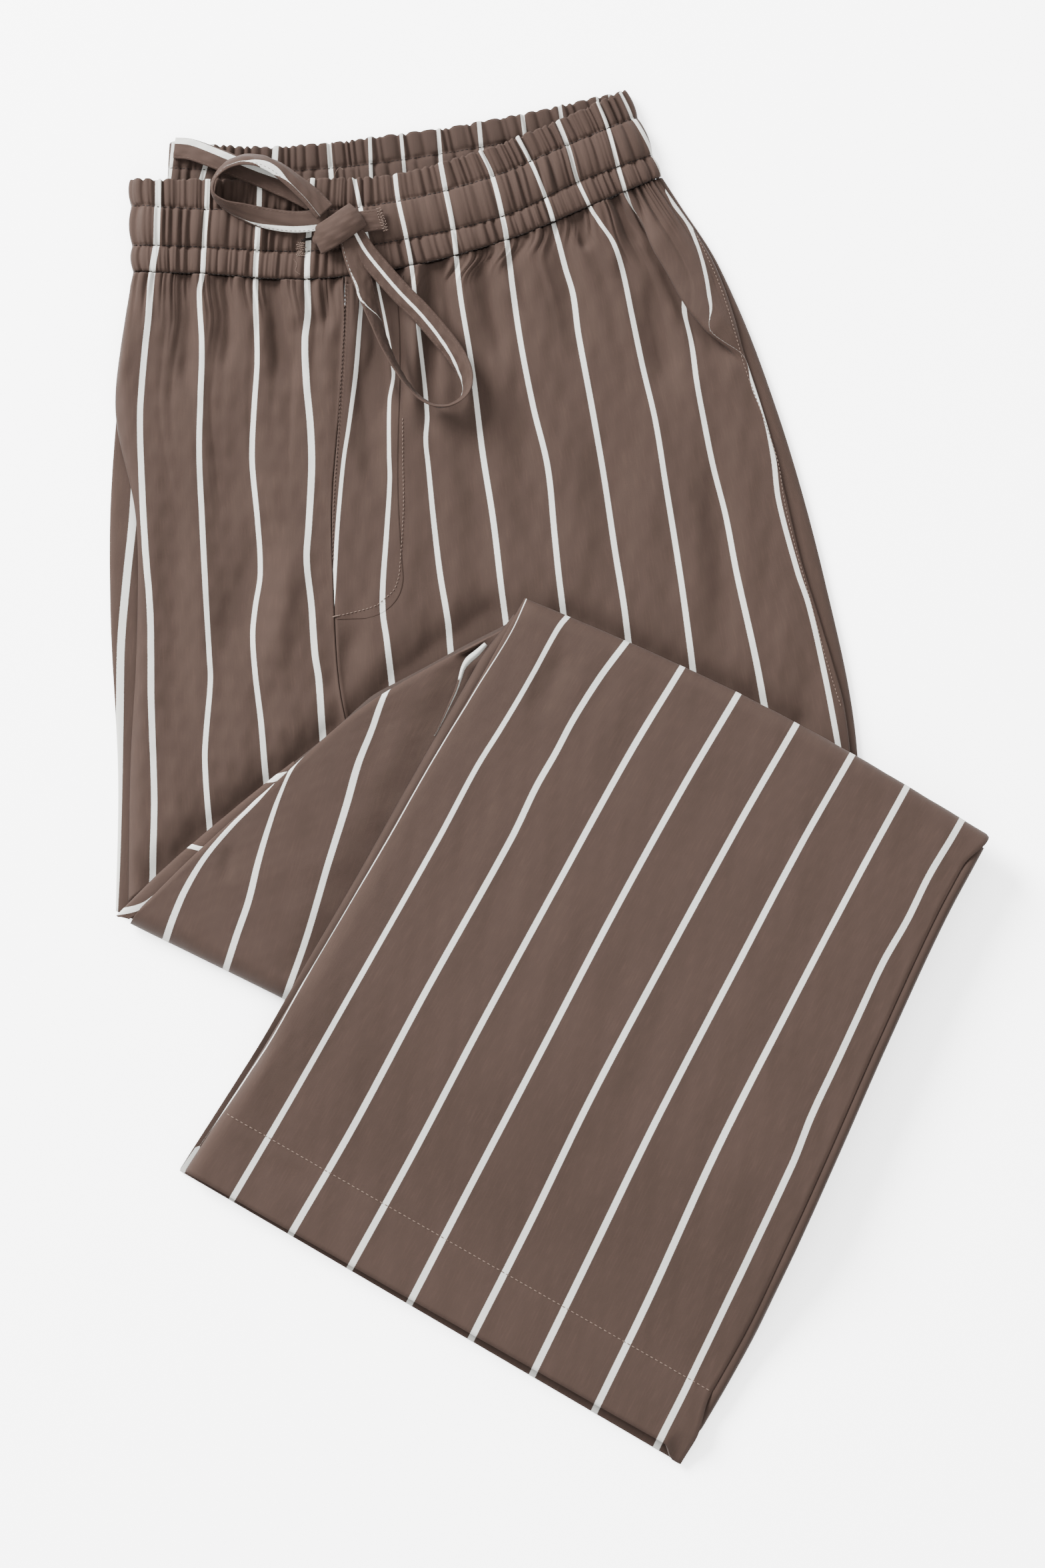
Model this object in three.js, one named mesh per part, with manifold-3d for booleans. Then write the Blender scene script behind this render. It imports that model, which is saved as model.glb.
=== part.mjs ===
// Pyjama trousers, striped woven cotton, folded in three and lying flat on a table.
// Units are millimetres, +Z is up from the table and +Y runs towards the waist.
// Left and right are the wearer's, so the right leg lies on the -X side.
import * as THREE from "three";
import Module from "manifold-3d";
import { mergeVertices } from "three/addons/utils/BufferGeometryUtils.js";

// Driving sizes
const cloth = 1.2;            // wall of one layer of cloth
const bandCloth = 2;          // wall of the waistband, cloth both sides of its elastic
const hemCloth = 1.8;         // wall of the turned-up hem
const seamGap = 0.3;          // gap between pieces where they are sewn or rest
const backLevel = 1.3;        // top of the back panels, which lie on the table
const bodyLevel = 8;          // top of the front panels
const bandLevel = 8.8;        // top of the front waistband between its gathers
const bandPuff = 1.4;         // how far a casing swells between two rows of stitching
const frontGathers = 56;      // gathers across the front waistband
const backGathers = 44;       // gathers across the back waistband
const gatherDepth = 0.65;     // height of a gather above and below its mean
const middleLevel = 14.2;     // top of the legs where they come back up
const sliverLevel = 11.4;     // top of the layer that shows past the middle's edge
const underLevel = 16.8;      // top of the lower layer of the leg that lies uppermost
const flapLevel = 25;         // top of the leg that lies uppermost
const hemLevel = 8.6;         // top of its hem, down beyond the body
const tieWidth = 11.5;        // flat drawstring
const tieCloth = 1.2;         // its two layers pressed as one wall
const flapLength = 365;       // leg that lies uppermost, from its fold to its hem
const hemAt = 0.9;            // share of that length at the hem's stitching
const underStrip = 13;        // width of the strip made of that leg's lower layer

// Directions on the table, in degrees from +X
const lowerFold = { x: -235.4, y: -74.5, angle: -26.1 };   // where the legs turn up
const upperFoldAngle = -27;                                // line where they turn down again
const flapAngle = -30;                                     // line across the uppermost leg

// Waistband, a row for each section from the wearer's right to left: edge and stitch rows
const frontBand = [
  { at: 0, topX: -226.8, topY: 325.1, oneX: -225.9, oneY: 311.4,
    twoX: -225.4, twoY: 289.4, seamX: -224.6, seamY: 275 },
  { at: 0.15, topX: -183.6, topY: 324.7, oneX: -184.3, oneY: 308.9,
    twoX: -185.8, twoY: 288, seamX: -186.5, seamY: 274 },
  { at: 0.34, topX: -126.7, topY: 325.1, oneX: -128.2, oneY: 308.2,
    twoX: -129.2, twoY: 285.8, seamX: -130.3, seamY: 271.1 },
  { at: 0.5, topX: -82.8, topY: 327.6, oneX: -81, oneY: 313.2,
    twoX: -77, twoY: 292.3, seamX: -73.8, seamY: 278.3 },
  { at: 0.65, topX: -36.7, topY: 340.2, oneX: -31, oneY: 326.2,
    twoX: -24.8, twoY: 304.6, seamX: -21.2, seamY: 292.7 },
  { at: 0.83, topX: 5, topY: 356.4, oneX: 10.8, oneY: 343.8,
    twoX: 16.6, twoY: 323.3, seamX: 21.6, seamY: 310.3 },
  { at: 1, topX: 42.5, topY: 374, oneX: 48.6, oneY: 359.3,
    twoX: 56.9, twoY: 338.4, seamX: 61.6, seamY: 326.9 },
];
const backBand = [
  { at: 0, topX: -205.5, topY: 346, seamX: -208, seamY: 297 },
  { at: 0.25, topX: -150, topY: 343.4, seamX: -150, seamY: 296.2 },
  { at: 0.5, topX: -94.3, topY: 348.5, seamX: -88, seamY: 299.5 },
  { at: 0.75, topX: -25, topY: 359, seamX: -12, seamY: 313 },
  { at: 1, topX: 41.5, topY: 373.6, seamX: 57, seamY: 325.6 },
];

// Upper part of each leg, a row for each section from the waist down: outer side and centre seam
const rightFront = [
  { at: 0, sideX: -224.6, sideY: 274.6, midX: -109.2, midY: 271.6 },
  { at: 0.08, sideX: -229, sideY: 252, midX: -109.9, midY: 250 },
  { at: 0.24, sideX: -234.6, sideY: 200, midX: -112.6, midY: 205 },
  { at: 0.42, sideX: -223.5, sideY: 142, midX: -117, midY: 150 },
  { at: 0.6, sideX: -223, sideY: 76, midX: -116, midY: 100 },
  { at: 0.8, sideX: -226.5, sideY: 6, midX: -113.5, midY: 55 },
  { at: 1, sideX: -227.5, sideY: -66, midX: -107, midY: 20 },
];
// The left front's side is sewn to the left back: sideAt is the place along that panel
const leftFront = [
  { at: 0, midX: -108.8, midY: 271.6, sideAt: 0 },
  { at: 0.1, midX: -109.6, midY: 250, sideAt: 0.07 },
  { at: 0.24, midX: -112.3, midY: 205, sideAt: 0.21 },
  { at: 0.42, midX: -116.6, midY: 150, sideAt: 0.38 },
  { at: 0.6, midX: -115.6, midY: 100, sideAt: 0.53 },
  { at: 0.8, midX: -113.1, midY: 55, sideAt: 0.65 },
  { at: 1, midX: -106.6, midY: 20, sideAt: 0.77 },
];
const rightBack = [
  { at: 0, sideX: -221, sideY: 295.4, midX: -110.2, midY: 293.7 },
  { at: 0.15, sideX: -228, sideY: 258, midX: -110.7, midY: 250 },
  { at: 0.4, sideX: -237, sideY: 160, midX: -115, midY: 160 },
  { at: 0.6, sideX: -237.5, sideY: 88, midX: -114, midY: 70 },
  { at: 0.8, sideX: -233.4, sideY: 4, midX: -108, midY: -30 },
  { at: 1, sideX: -234.6, sideY: -71, midX: -104, midY: -133 },
];
const leftBack = [
  { at: 0, midX: -109.8, midY: 293.7, sideX: 63.5, sideY: 324 },
  { at: 0.12, midX: -110.2, midY: 250, sideX: 93, sideY: 279 },
  { at: 0.36, midX: -114.5, midY: 160, sideX: 125.3, sideY: 198 },
  { at: 0.55, midX: -113.5, midY: 70, sideX: 150.5, sideY: 108 },
  { at: 0.72, midX: -107.5, midY: -30, sideX: 168, sideY: 16 },
  { at: 1, midX: -103.6, midY: -133, sideX: 171, sideY: -150 },
];
// Section of the left back where it turns round the side, from its seam down to the table
const sideTurn = [
  { at: 0, inward: 7.2, height: 7.5 },
  { at: 0.03, inward: 3.9, height: 7 },
  { at: 0.05, inward: 1.3, height: 5.6 },
  { at: 0.07, inward: 0, height: 3.2 },
  { at: 0.1, inward: 2, height: 0.7 },
  { at: 0.12, inward: 6, height: 0 },
  { at: 0.18, inward: 30, height: 0 },
];
const sideSeamInset = 8.4;    // from the outline in to the left front's side seam
const sideSeamLevel = 7.6;    // height of that seam
const flyAt = 0.4;            // share of the waistband's length at the front edge of the fly
const sideSeamAt = 0.97;      // and at the left side seam

// Legs where they come back up, a row for each section along the lower fold
const middle = [
  { at: 0, foldX: -226.5, foldY: -78, edgeX: -219, edgeY: -68 },
  { at: 0.2, foldX: -209.5, foldY: -86.4, edgeX: -189, edgeY: -38.5 },
  { at: 0.45, foldX: -187, foldY: -97.4, edgeX: -148, edgeY: -2 },
  { at: 0.7, foldX: -164, foldY: -108.7, edgeX: -94, edgeY: 43.5 },
  { at: 1, foldX: -131, foldY: -125, edgeX: -4, edgeY: 92 },
];
// Layer below it, which shows along the slanting edge from the corner
const sliver = [
  { at: 0, outX: -233.6, outY: -73.4, inX: -226.5, inY: -75.2 },
  { at: 0.25, outX: -211.3, outY: -51.1, inX: -201, inY: -62 },
  { at: 0.5, outX: -187.9, outY: -30.6, inX: -176, inY: -41 },
  { at: 0.75, outX: -160, outY: -7.5, inX: -150, inY: -18 },
  { at: 1, outX: -137.5, outY: 10.2, inX: -128, inY: 0 },
];

// Leg that lies uppermost, a row for each section from the upper fold to the hem
const flap = [
  { at: 0, leftX: -12.5, leftY: 98, rightX: 238.3, rightY: -30.2 },
  { at: 0.14, leftX: -36.7, leftY: 54, rightX: 213.5, rightY: -76 },
  { at: 0.34, leftX: -72.7, leftY: -7.2, rightX: 182, rightY: -144 },
  { at: 0.5, leftX: -101.5, leftY: -57.6, rightX: 157.8, rightY: -199 },
  { at: 0.66, leftX: -130.3, leftY: -106.2, rightX: 133.2, rightY: -254 },
  { at: 0.8, leftX: -156.5, leftY: -149, rightX: 111, rightY: -303 },
  { at: 1, leftX: -196.6, leftY: -211.7, rightX: 75.5, rightY: -366 },
];
const flapBulge = 7;          // how far the upper fold bows out at its middle
const flapSeamInset = 5.9;    // from the flap's long edge in to its seam
const underShow = { top: 4.6, side: 3, hemNear: 2, hemFar: 6 };   // lower layer past the upper one

// Drawstring, a row for each point: lean is how far the strip stands on its edge, in degrees
const tieRoutes = {
  tie_left_loop: [
    { x: -127.9, y: 314.8, z: 18.7, lean: 24 },
    { x: -139, y: 325, z: 20.4, lean: 40 },
    { x: -157, y: 334.5, z: 20, lean: 55 },
    { x: -174, y: 329, z: 17.5, lean: 72 },
    { x: -177.5, y: 318, z: 16, lean: 84 },
    { x: -168, y: 308.5, z: 16, lean: 55 },
    { x: -145, y: 304.5, z: 16.2, lean: 20 },
    { x: -122.5, y: 304, z: 16.6, lean: 8 },
  ],
  tie_tail: [
    { x: -124.5, y: 311.6, z: 14.4, lean: 0 },
    { x: -139, y: 320, z: 13.4, lean: 0 },
    { x: -160, y: 330.5, z: 12, lean: 0 },
    { x: -184, y: 338.5, z: 6.6, lean: 0 },
    { x: -203, y: 340.5, z: 4.6, lean: 0 },
  ],
  tie_right_loop: [
    { x: -104.2, y: 292, z: 15.4, lean: 0 },
    { x: -80, y: 270, z: 13, lean: 8 },
    { x: -62, y: 247, z: 12, lean: 15 },
    { x: -49, y: 222, z: 13.6, lean: 40 },
    { x: -49.5, y: 206, z: 15, lean: 74 },
    { x: -59, y: 201.5, z: 15.4, lean: 84 },
    { x: -72, y: 212, z: 15.4, lean: 88 },
    { x: -85, y: 232, z: 15.6, lean: 80 },
    { x: -96, y: 256, z: 16.4, lean: 40 },
    { x: -107, y: 289.2, z: 17.8, lean: 8 },
  ],
  tie_end: [
    { x: -102.9, y: 302.8, z: 15.6, lean: 0 },
    { x: -95, y: 302, z: 14.2, lean: 0 },
    { x: -88.4, y: 302, z: 13.4, lean: 0 },
  ],
  tie_root: [
    { x: -131, y: 287.5, z: 13.2, lean: 0 },
    { x: -125, y: 290.5, z: 13.4, lean: 0 },
    { x: -115.5, y: 296.3, z: 14.9, lean: 0 },
  ],
};
const knot = { x: -113.2, y: 306.5, z: 17.6, long: 18, wide: 7.4, high: 4, turn: -64 };

const brown = 0x6e5b53;
const inside = 0x5c4a43;

// Shared arithmetic
const radians = (degrees) => degrees * Math.PI / 180;
const mix = (a, b, t) => a + (b - a) * t;
const clamp = (t) => Math.min(1, Math.max(0, t));
const smooth = (t) => clamp(t) ** 2 * (3 - 2 * clamp(t));

// Height of a rounded edge, from 0 at the edge to 1 once reach inside it
function shoulder(distance, reach) {
  return Math.sqrt(1 - (1 - clamp(distance / reach)) ** 2);
}

// Value of a table's column at a place between its rows, on a smooth curve through them
function read(table, column, at) {
  const last = table.length - 1;
  let i = 0;
  while (i < last - 1 && at > table[i + 1].at) i += 1;
  const span = table[i + 1].at - table[i].at;
  const slope = (k) => {
    const low = table[Math.max(0, k - 1)];
    const high = table[Math.min(last, k + 1)];
    return (high[column] - low[column]) / (high.at - low.at);
  };
  const t = clamp((at - table[i].at) / span);
  const start = table[i][column];
  const end = table[i + 1][column];
  return (2 * t ** 3 - 3 * t ** 2 + 1) * start + (t ** 3 - 2 * t ** 2 + t) * span * slope(i)
    + (3 * t ** 2 - 2 * t ** 3) * end + (t ** 3 - t ** 2) * span * slope(i + 1);
}

// Even steps from 0 to 1
const steps = (count) => Array.from({ length: count + 1 }, (_, i) => i / count);

// Closed solid between two grids of points: outer faces away from inner
function solidBetween(outer, inner) {
  const rows = outer.length;
  const columns = outer[0].length;
  const points = [];
  const faces = [];
  for (const grid of [outer, inner]) {
    for (const row of grid) {
      for (const point of row) points.push(point.x, point.y, point.z);
    }
  }
  const out = (r, c) => r * columns + c;
  const back = (r, c) => rows * columns + r * columns + c;
  const quad = (a, b, c, d) => faces.push(a, b, c, a, c, d);
  for (let r = 0; r < rows - 1; r += 1) {
    for (let c = 0; c < columns - 1; c += 1) {
      quad(out(r, c), out(r + 1, c), out(r + 1, c + 1), out(r, c + 1));
      quad(back(r, c), back(r, c + 1), back(r + 1, c + 1), back(r + 1, c));
    }
    quad(out(r, 0), back(r, 0), back(r + 1, 0), out(r + 1, 0));
    quad(out(r, columns - 1), out(r + 1, columns - 1), back(r + 1, columns - 1), back(r, columns - 1));
  }
  for (let c = 0; c < columns - 1; c += 1) {
    quad(out(0, c), out(0, c + 1), back(0, c + 1), back(0, c));
    quad(out(rows - 1, c), back(rows - 1, c), back(rows - 1, c + 1), out(rows - 1, c + 1));
  }
  const geometry = new THREE.BufferGeometry();
  geometry.setAttribute("position", new THREE.Float32BufferAttribute(points, 3));
  geometry.setIndex(faces);
  return geometry;
}

// Wall of cloth: base gives its outer side, relief raises it and thick is measured inwards.
// Across runs left to right on the face and down runs towards the hem.
function clothWall({ across, down, base, relief = () => 0, thick = cloth }) {
  const tiny = 0.002;
  const outer = [];
  const inner = [];
  for (const v of down) {
    const outerRow = [];
    const innerRow = [];
    for (const u of across) {
      const alongU = base(Math.min(1, u + tiny), v).sub(base(Math.max(0, u - tiny), v));
      const alongV = base(u, Math.min(1, v + tiny)).sub(base(u, Math.max(0, v - tiny)));
      const normal = alongV.cross(alongU).normalize();
      const point = base(u, v);
      const wall = typeof thick === "function" ? thick(u, v) : thick;
      outerRow.push(point.clone().addScaledVector(normal, relief(u, v)));
      innerRow.push(point.clone().addScaledVector(normal, relief(u, v) - wall));
    }
    outer.push(outerRow);
    inner.push(innerRow);
  }
  return solidBetween(outer, inner);
}

// Panel that lies flat on the table: plan gives x and y, topAt its upper side
function flatPanel({ across, down, plan, topAt, bottomAt = () => 0 }) {
  const place = (height) => down.map((v) => across.map((u) => {
    const { x, y } = plan(u, v);
    return new THREE.Vector3(x, y, height(u, v));
  }));
  return solidBetween(place(topAt), place(bottomAt));
}

// Distance of a point beyond the lower fold, less than 0 over the body
function pastLowerFold(x, y) {
  const turn = radians(lowerFold.angle);
  return (x - lowerFold.x) * Math.sin(turn) - (y - lowerFold.y) * Math.cos(turn);
}

// Waistband, drawn up on elastic between three rows of stitching
const bandRows = [
  { at: 0, puff: 0.3, gather: 1.2 },
  { at: 0.28, puff: 0, gather: 0.4 },
  { at: 0.5, puff: 1, gather: 0.9 },
  { at: 0.72, puff: 0, gather: 0.4 },
  { at: 0.86, puff: 0.7, gather: 0.9 },
  { at: 1, puff: 0, gather: 0.5 },
];

function bandPlace(u, v) {
  const lines = [
    { at: 0, x: read(frontBand, "topX", u), y: read(frontBand, "topY", u) },
    { at: 0.28, x: read(frontBand, "oneX", u), y: read(frontBand, "oneY", u) },
    { at: 0.72, x: read(frontBand, "twoX", u), y: read(frontBand, "twoY", u) },
    { at: 1, x: read(frontBand, "seamX", u), y: read(frontBand, "seamY", u) },
  ];
  return { x: read(lines, "x", v), y: read(lines, "y", v) };
}

// Height of the garment's upper face at a distance in from its sides
function domeHeight(level, fromRight, fromLeft, edge = 2.9) {
  return mix(edge, level, shoulder(Math.min(fromRight, fromLeft), 13));
}

function gatherAt(u, count) {
  return Math.cos(2 * Math.PI * count * u);
}

// Places of the ridges and valleys of a run of gathers
const gatherSteps = (count) => steps(count * 2);

function makeFrontBand() {
  const start = (v) => bandPlace(0, v);
  const end = (v) => bandPlace(1, v);
  return clothWall({
    across: gatherSteps(frontGathers),
    down: bandRows.map((row) => row.at),
    thick: bandCloth,
    base: (u, v) => {
      const place = bandPlace(u, v);
      const fromRight = place.x - start(v).x;
      const fromLeft = end(v).x - place.x;
      return new THREE.Vector3(place.x, place.y, domeHeight(bandLevel, fromRight, fromLeft));
    },
    relief: (u, v) => {
      const calm = shoulder(Math.min(u, 1 - u), 0.04);
      const puff = bandPuff * read(bandRows, "puff", v);
      return calm * (puff + gatherDepth * read(bandRows, "gather", v) * gatherAt(u, frontGathers));
    },
  });
}

function makeBackBand() {
  const plan = (u, v) => ({
    x: mix(read(backBand, "topX", u), read(backBand, "seamX", u), v),
    y: mix(read(backBand, "topY", u), read(backBand, "seamY", u), v),
  });
  return flatPanel({
    across: gatherSteps(backGathers),
    down: [0, 0.28, 0.5, 1],
    plan,
    topAt: (u, v) => {
      const show = 1 - smooth((v - 0.3) / 0.5);
      const edge = mix(0.55, 1, shoulder(Math.min(u, 1 - u), 0.04));
      const pinch = 1 - 0.6 * Math.exp(-(((v - 0.28) / 0.06) ** 2));
      return edge * (2.2 + show * pinch * gatherDepth * gatherAt(u, backGathers));
    },
  });
}

// A panel's place, drawn to the waistband's seam along its top edge
function sewnToBand(place, top, bandU, v) {
  const seam = bandPlace(bandU, 1);
  const near = 1 - smooth(v / 0.1);
  return {
    x: place.x + (seam.x - top.x) * near,
    y: place.y + (seam.y - top.y - seamGap - 0.1) * near,
  };
}

// Soft folds that fall from the gathers, strong at the waist and gone lower down
const frontFolds = [
  { centre: 0.06, width: 0.035, depth: 0.5, fade: 0.3 },
  { centre: 0.2, width: 0.03, depth: 0.6, fade: 0.45 },
  { centre: 0.33, width: 0.035, depth: -0.5, fade: 0.5 },
  { centre: 0.47, width: 0.03, depth: 0.6, fade: 0.4 },
  { centre: 0.6, width: 0.035, depth: -0.5, fade: 0.7 },
  { centre: 0.73, width: 0.03, depth: 0.5, fade: 0.5 },
  { centre: 0.88, width: 0.035, depth: -0.6, fade: 0.6 },
];

function softFolds(u, v) {
  let height = 0;
  for (const one of frontFolds) {
    const near = Math.exp(-(((u - one.centre) / one.width) ** 2));
    height += one.depth * near * (1 - smooth(v / one.fade));
  }
  const gathers = 0.35 * gatherAt(u, 14) * (1 - smooth(v / 0.16));
  return (height + gathers) * shoulder(Math.min(u, 1 - u), 0.08);
}

function panelPlace(table, u, v) {
  return {
    x: mix(read(table, "sideX", v), read(table, "midX", v), u),
    y: mix(read(table, "sideY", v), read(table, "midY", v), u),
  };
}

// Place on the left back's section, a distance in from the garment's side
function fromLeftSide(inward, v) {
  const side = panelPlace(leftBack, 0, v);
  const centre = panelPlace(leftBack, 1, v);
  const reach = Math.hypot(side.x - centre.x, side.y - centre.y);
  const share = inward / reach;
  return { x: mix(side.x, centre.x, share), y: mix(side.y, centre.y, share), reach };
}

function leftFrontPlace(u, v) {
  const side = fromLeftSide(sideSeamInset, read(leftFront, "sideAt", v));
  return {
    x: mix(read(leftFront, "midX", v), side.x, u),
    y: mix(read(leftFront, "midY", v), side.y, u),
    side,
  };
}

function makeRightFront() {
  return clothWall({
    across: [0, 0.012, 0.035, 0.07, 0.12, ...steps(17).slice(3)],
    down: [0, 0.04, 0.09, 0.16, 0.25, 0.34, 0.42, 0.5, 0.6, 0.7, 0.8, 0.9, 1],
    base: (u, v) => {
      const bandU = u * (flyAt - 0.002);
      const place = sewnToBand(panelPlace(rightFront, u, v), panelPlace(rightFront, u, 0), bandU, v);
      const level = mix(bandLevel, bodyLevel, smooth(v / 0.3));
      const fromSide = place.x - mix(bandPlace(0, 1).x, read(rightFront, "sideX", v), smooth(v / 0.1));
      return new THREE.Vector3(place.x, place.y, domeHeight(level, fromSide, 100));
    },
    relief: softFolds,
  });
}

function leftFrontBase(u, v) {
  const bandU = mix(flyAt, sideSeamAt, u);
  const place = sewnToBand(leftFrontPlace(u, v), leftFrontPlace(u, 0), bandU, v);
  const level = mix(bandLevel, bodyLevel, smooth(v / 0.3));
  const edge = sewnToBand(leftFrontPlace(1, v), leftFrontPlace(1, 0), sideSeamAt, v);
  const fromSide = edge.x - place.x;
  const pastSeam = bandPlace(1, 1).x - bandPlace(sideSeamAt, 1).x;
  const rounded = domeHeight(level, 100, fromSide + pastSeam);
  const sewn = mix(sideSeamLevel, level, smooth(fromSide / 12));
  return new THREE.Vector3(place.x, place.y, mix(rounded, sewn, smooth(v / 0.1)));
}

// Deep slanting fold on the left hip, from the waistband's end to the pocket
const hipFold = { fromU: 0.86, fromV: 0.03, toU: 0.97, toV: 0.27, width: 0.045, depth: -0.7 };

function hipRelief(u, v) {
  const t = clamp((v - hipFold.fromV) / (hipFold.toV - hipFold.fromV));
  const centre = mix(hipFold.fromU, hipFold.toU, t ** 1.3);
  const ends = Math.sin(Math.PI * clamp((v + 0.02) / (hipFold.toV + 0.06)));
  return hipFold.depth * ends * Math.exp(-(((u - centre) / hipFold.width) ** 2));
}

function makeLeftFront() {
  return clothWall({
    across: [...steps(22).slice(0, 20), 0.935, 0.965, 0.985, 1],
    down: [0, 0.04, 0.09, 0.15, 0.21, 0.28, 0.36, 0.45, 0.55, 0.7, 0.85, 1],
    base: leftFrontBase,
    relief: (u, v) => softFolds(u, v) + hipRelief(u, v) * shoulder(1 - u, 0.05),
  });
}

// Sewn-down fly, laid on the left front from the fly edge to its curved row of stitching
const flyShape = { top: 0.02, bottom: 0.655, width: 0.11, corner: 0.14, lift: 0.75 };

function makeFly() {
  const plan = (u, v) => {
    const down = mix(flyShape.top, flyShape.bottom, v);
    const left = clamp((v - (1 - flyShape.corner)) / flyShape.corner);
    const wide = flyShape.width * (0.32 + 0.68 * Math.sqrt(1 - left ** 2));
    return leftFrontBase(0.006 + u * wide, down);
  };
  return clothWall({
    across: steps(6),
    down: [0, 0.15, 0.35, 0.55, 0.7, 0.8, 0.86, 0.91, 0.955, 0.985, 1],
    thick: 1,
    base: (u, v) => {
      const point = plan(u, v);
      point.z += flyShape.lift + 1;
      return point;
    },
    relief: (u, v) => {
      const down = mix(flyShape.top, flyShape.bottom, v);
      return softFolds(0.006 + u * flyShape.width, down);
    },
  });
}

function makeRightBack() {
  return flatPanel({
    across: [0, 0.02, 0.05, 0.1, 0.16, 0.6, 1],
    down: [0, 0.15, 0.3, 0.4, 0.5, 0.6, 0.7, 0.8, 0.9, 1],
    plan: (u, v) => ({
      x: mix(read(rightBack, "sideX", v), read(rightBack, "midX", v), u),
      y: mix(read(rightBack, "sideY", v), read(rightBack, "midY", v), u),
    }),
    topAt: (u, v) => {
      const shows = smooth((v - 0.34) / 0.16) * (1 - smooth((u - 0.1) / 0.06));
      return mix(0.9, backLevel + 1 * shows, shoulder(u, 0.04));
    },
  });
}

// Its outer side is the one on the table, so across runs from the turned edge to the centre
function makeLeftBack() {
  const turned = sideTurn[sideTurn.length - 1];
  return clothWall({
    across: [...sideTurn.map((row) => row.at), 0.6, 1],
    down: steps(14),
    base: (u, v) => {
      const isFlat = u > turned.at;
      const share = (u - turned.at) / (1 - turned.at);
      const flat = mix(turned.inward, fromLeftSide(0, v).reach, share);
      const place = fromLeftSide(isFlat ? flat : read(sideTurn, "inward", u), v);
      const height = isFlat ? 0 : Math.max(0, read(sideTurn, "height", u));
      return new THREE.Vector3(place.x, place.y, height);
    },
  });
}

// Legs lying back over the body, between the lower fold and the slanting edge
function makeMiddle() {
  return clothWall({
    across: [0, 0.05, 0.12, 0.2, 0.32, 0.45, 0.6, 0.75, 0.88, 1],
    down: [0, 0.03, 0.08, 0.16, 0.3, 0.5, 0.7, 0.85, 0.93, 0.98, 1],
    base: (u, v) => {
      const place = middlePlace(u, v);
      const atEdge = mix(sliverLevel + 0.9, middleLevel, shoulder(v * place.long, 7));
      const atFold = mix(2, atEdge, shoulder((1 - v) * place.long, 12));
      return new THREE.Vector3(place.x, place.y, atFold);
    },
  });
}

// Plan of the legs' middle stretch: v runs from the slanting edge to the lower fold
function middlePlace(u, v) {
  const edge = { x: read(middle, "edgeX", u), y: read(middle, "edgeY", u) };
  const low = { x: read(middle, "foldX", u), y: read(middle, "foldY", u) };
  return {
    x: mix(edge.x, low.x, v),
    y: mix(edge.y, low.y, v),
    long: Math.hypot(edge.x - low.x, edge.y - low.y),
  };
}

function middleInset(u, fromEdge, fromFold) {
  const { long } = middlePlace(u, 0);
  return middlePlace(u, fromFold > 0 ? 1 - fromFold / long : fromEdge / long);
}

function makeSliver() {
  return clothWall({
    across: steps(8),
    down: [0, 0.2, 0.6, 1],
    base: (u, v) => {
      const x = mix(read(sliver, "outX", u), read(sliver, "inX", u), v);
      const y = mix(read(sliver, "outY", u), read(sliver, "inY", u), v);
      const level = mix(bodyLevel + 2, sliverLevel, smooth(u / 0.4));
      return new THREE.Vector3(x, y, level - 0.5 * (1 - v) ** 2);
    },
  });
}

// Plan of the uppermost leg: u runs across from its left edge and v from fold to hem
function flapPlace(u, v) {
  const left = { x: read(flap, "leftX", v), y: read(flap, "leftY", v) };
  const right = { x: read(flap, "rightX", v), y: read(flap, "rightY", v) };
  const bow = flapBulge * Math.sin(Math.PI * clamp(u)) * (1 - smooth(v / 0.3));
  const turn = radians(upperFoldAngle);
  return {
    x: mix(left.x, right.x, u) - bow * Math.sin(turn),
    y: mix(left.y, right.y, u) + bow * Math.cos(turn),
    wide: Math.hypot(right.x - left.x, right.y - left.y),
  };
}

// Point of the uppermost leg's plan, moved by real distances to its right and up its length
function flapMoved(u, v, rightward, upward) {
  const edge = flapPlace(u, v);
  const turn = radians(flapAngle);
  return {
    x: edge.x + Math.cos(turn) * rightward - Math.sin(turn) * upward,
    y: edge.y + Math.sin(turn) * rightward + Math.cos(turn) * upward,
  };
}

const flapTop = (x, y) => mix(flapLevel, hemLevel, smooth((pastLowerFold(x, y) + 35) / 120));
const flapUnder = (x, y) => mix(underLevel, cloth, smooth((pastLowerFold(x, y) + 4) / 44));

function makeFlapFront() {
  const across = [0, 0.008, 0.022, 0.045, ...steps(10).slice(1, 10), 0.96, 1];
  const edgeOf = (u, v) => u * (flapPlace(1, v).wide - flapSeamInset);
  return clothWall({
    across,
    down: [0, 0.006, 0.016, 0.03, 0.1, 0.25, 0.4, 0.5, 0.58, 0.66, 0.74, 0.82, 0.893, 0.903, 1],
    thick: (u, v) => (v > hemAt ? hemCloth : cloth),
    base: (u, v) => {
      const inset = 1 - flapSeamInset / flapPlace(1, v).wide;
      const place = flapPlace(u * inset, v);
      const top = flapTop(place.x, place.y);
      const side = flapUnder(place.x, place.y) + 2.4;
      const rolled = mix(Math.min(side, top - 2), top, shoulder(edgeOf(u, v), 9));
      const folded = mix(Math.min(rolled, 17.8), rolled, shoulder(v * flapLength, 9));
      return new THREE.Vector3(place.x, place.y, folded);
    },
  });
}

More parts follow.
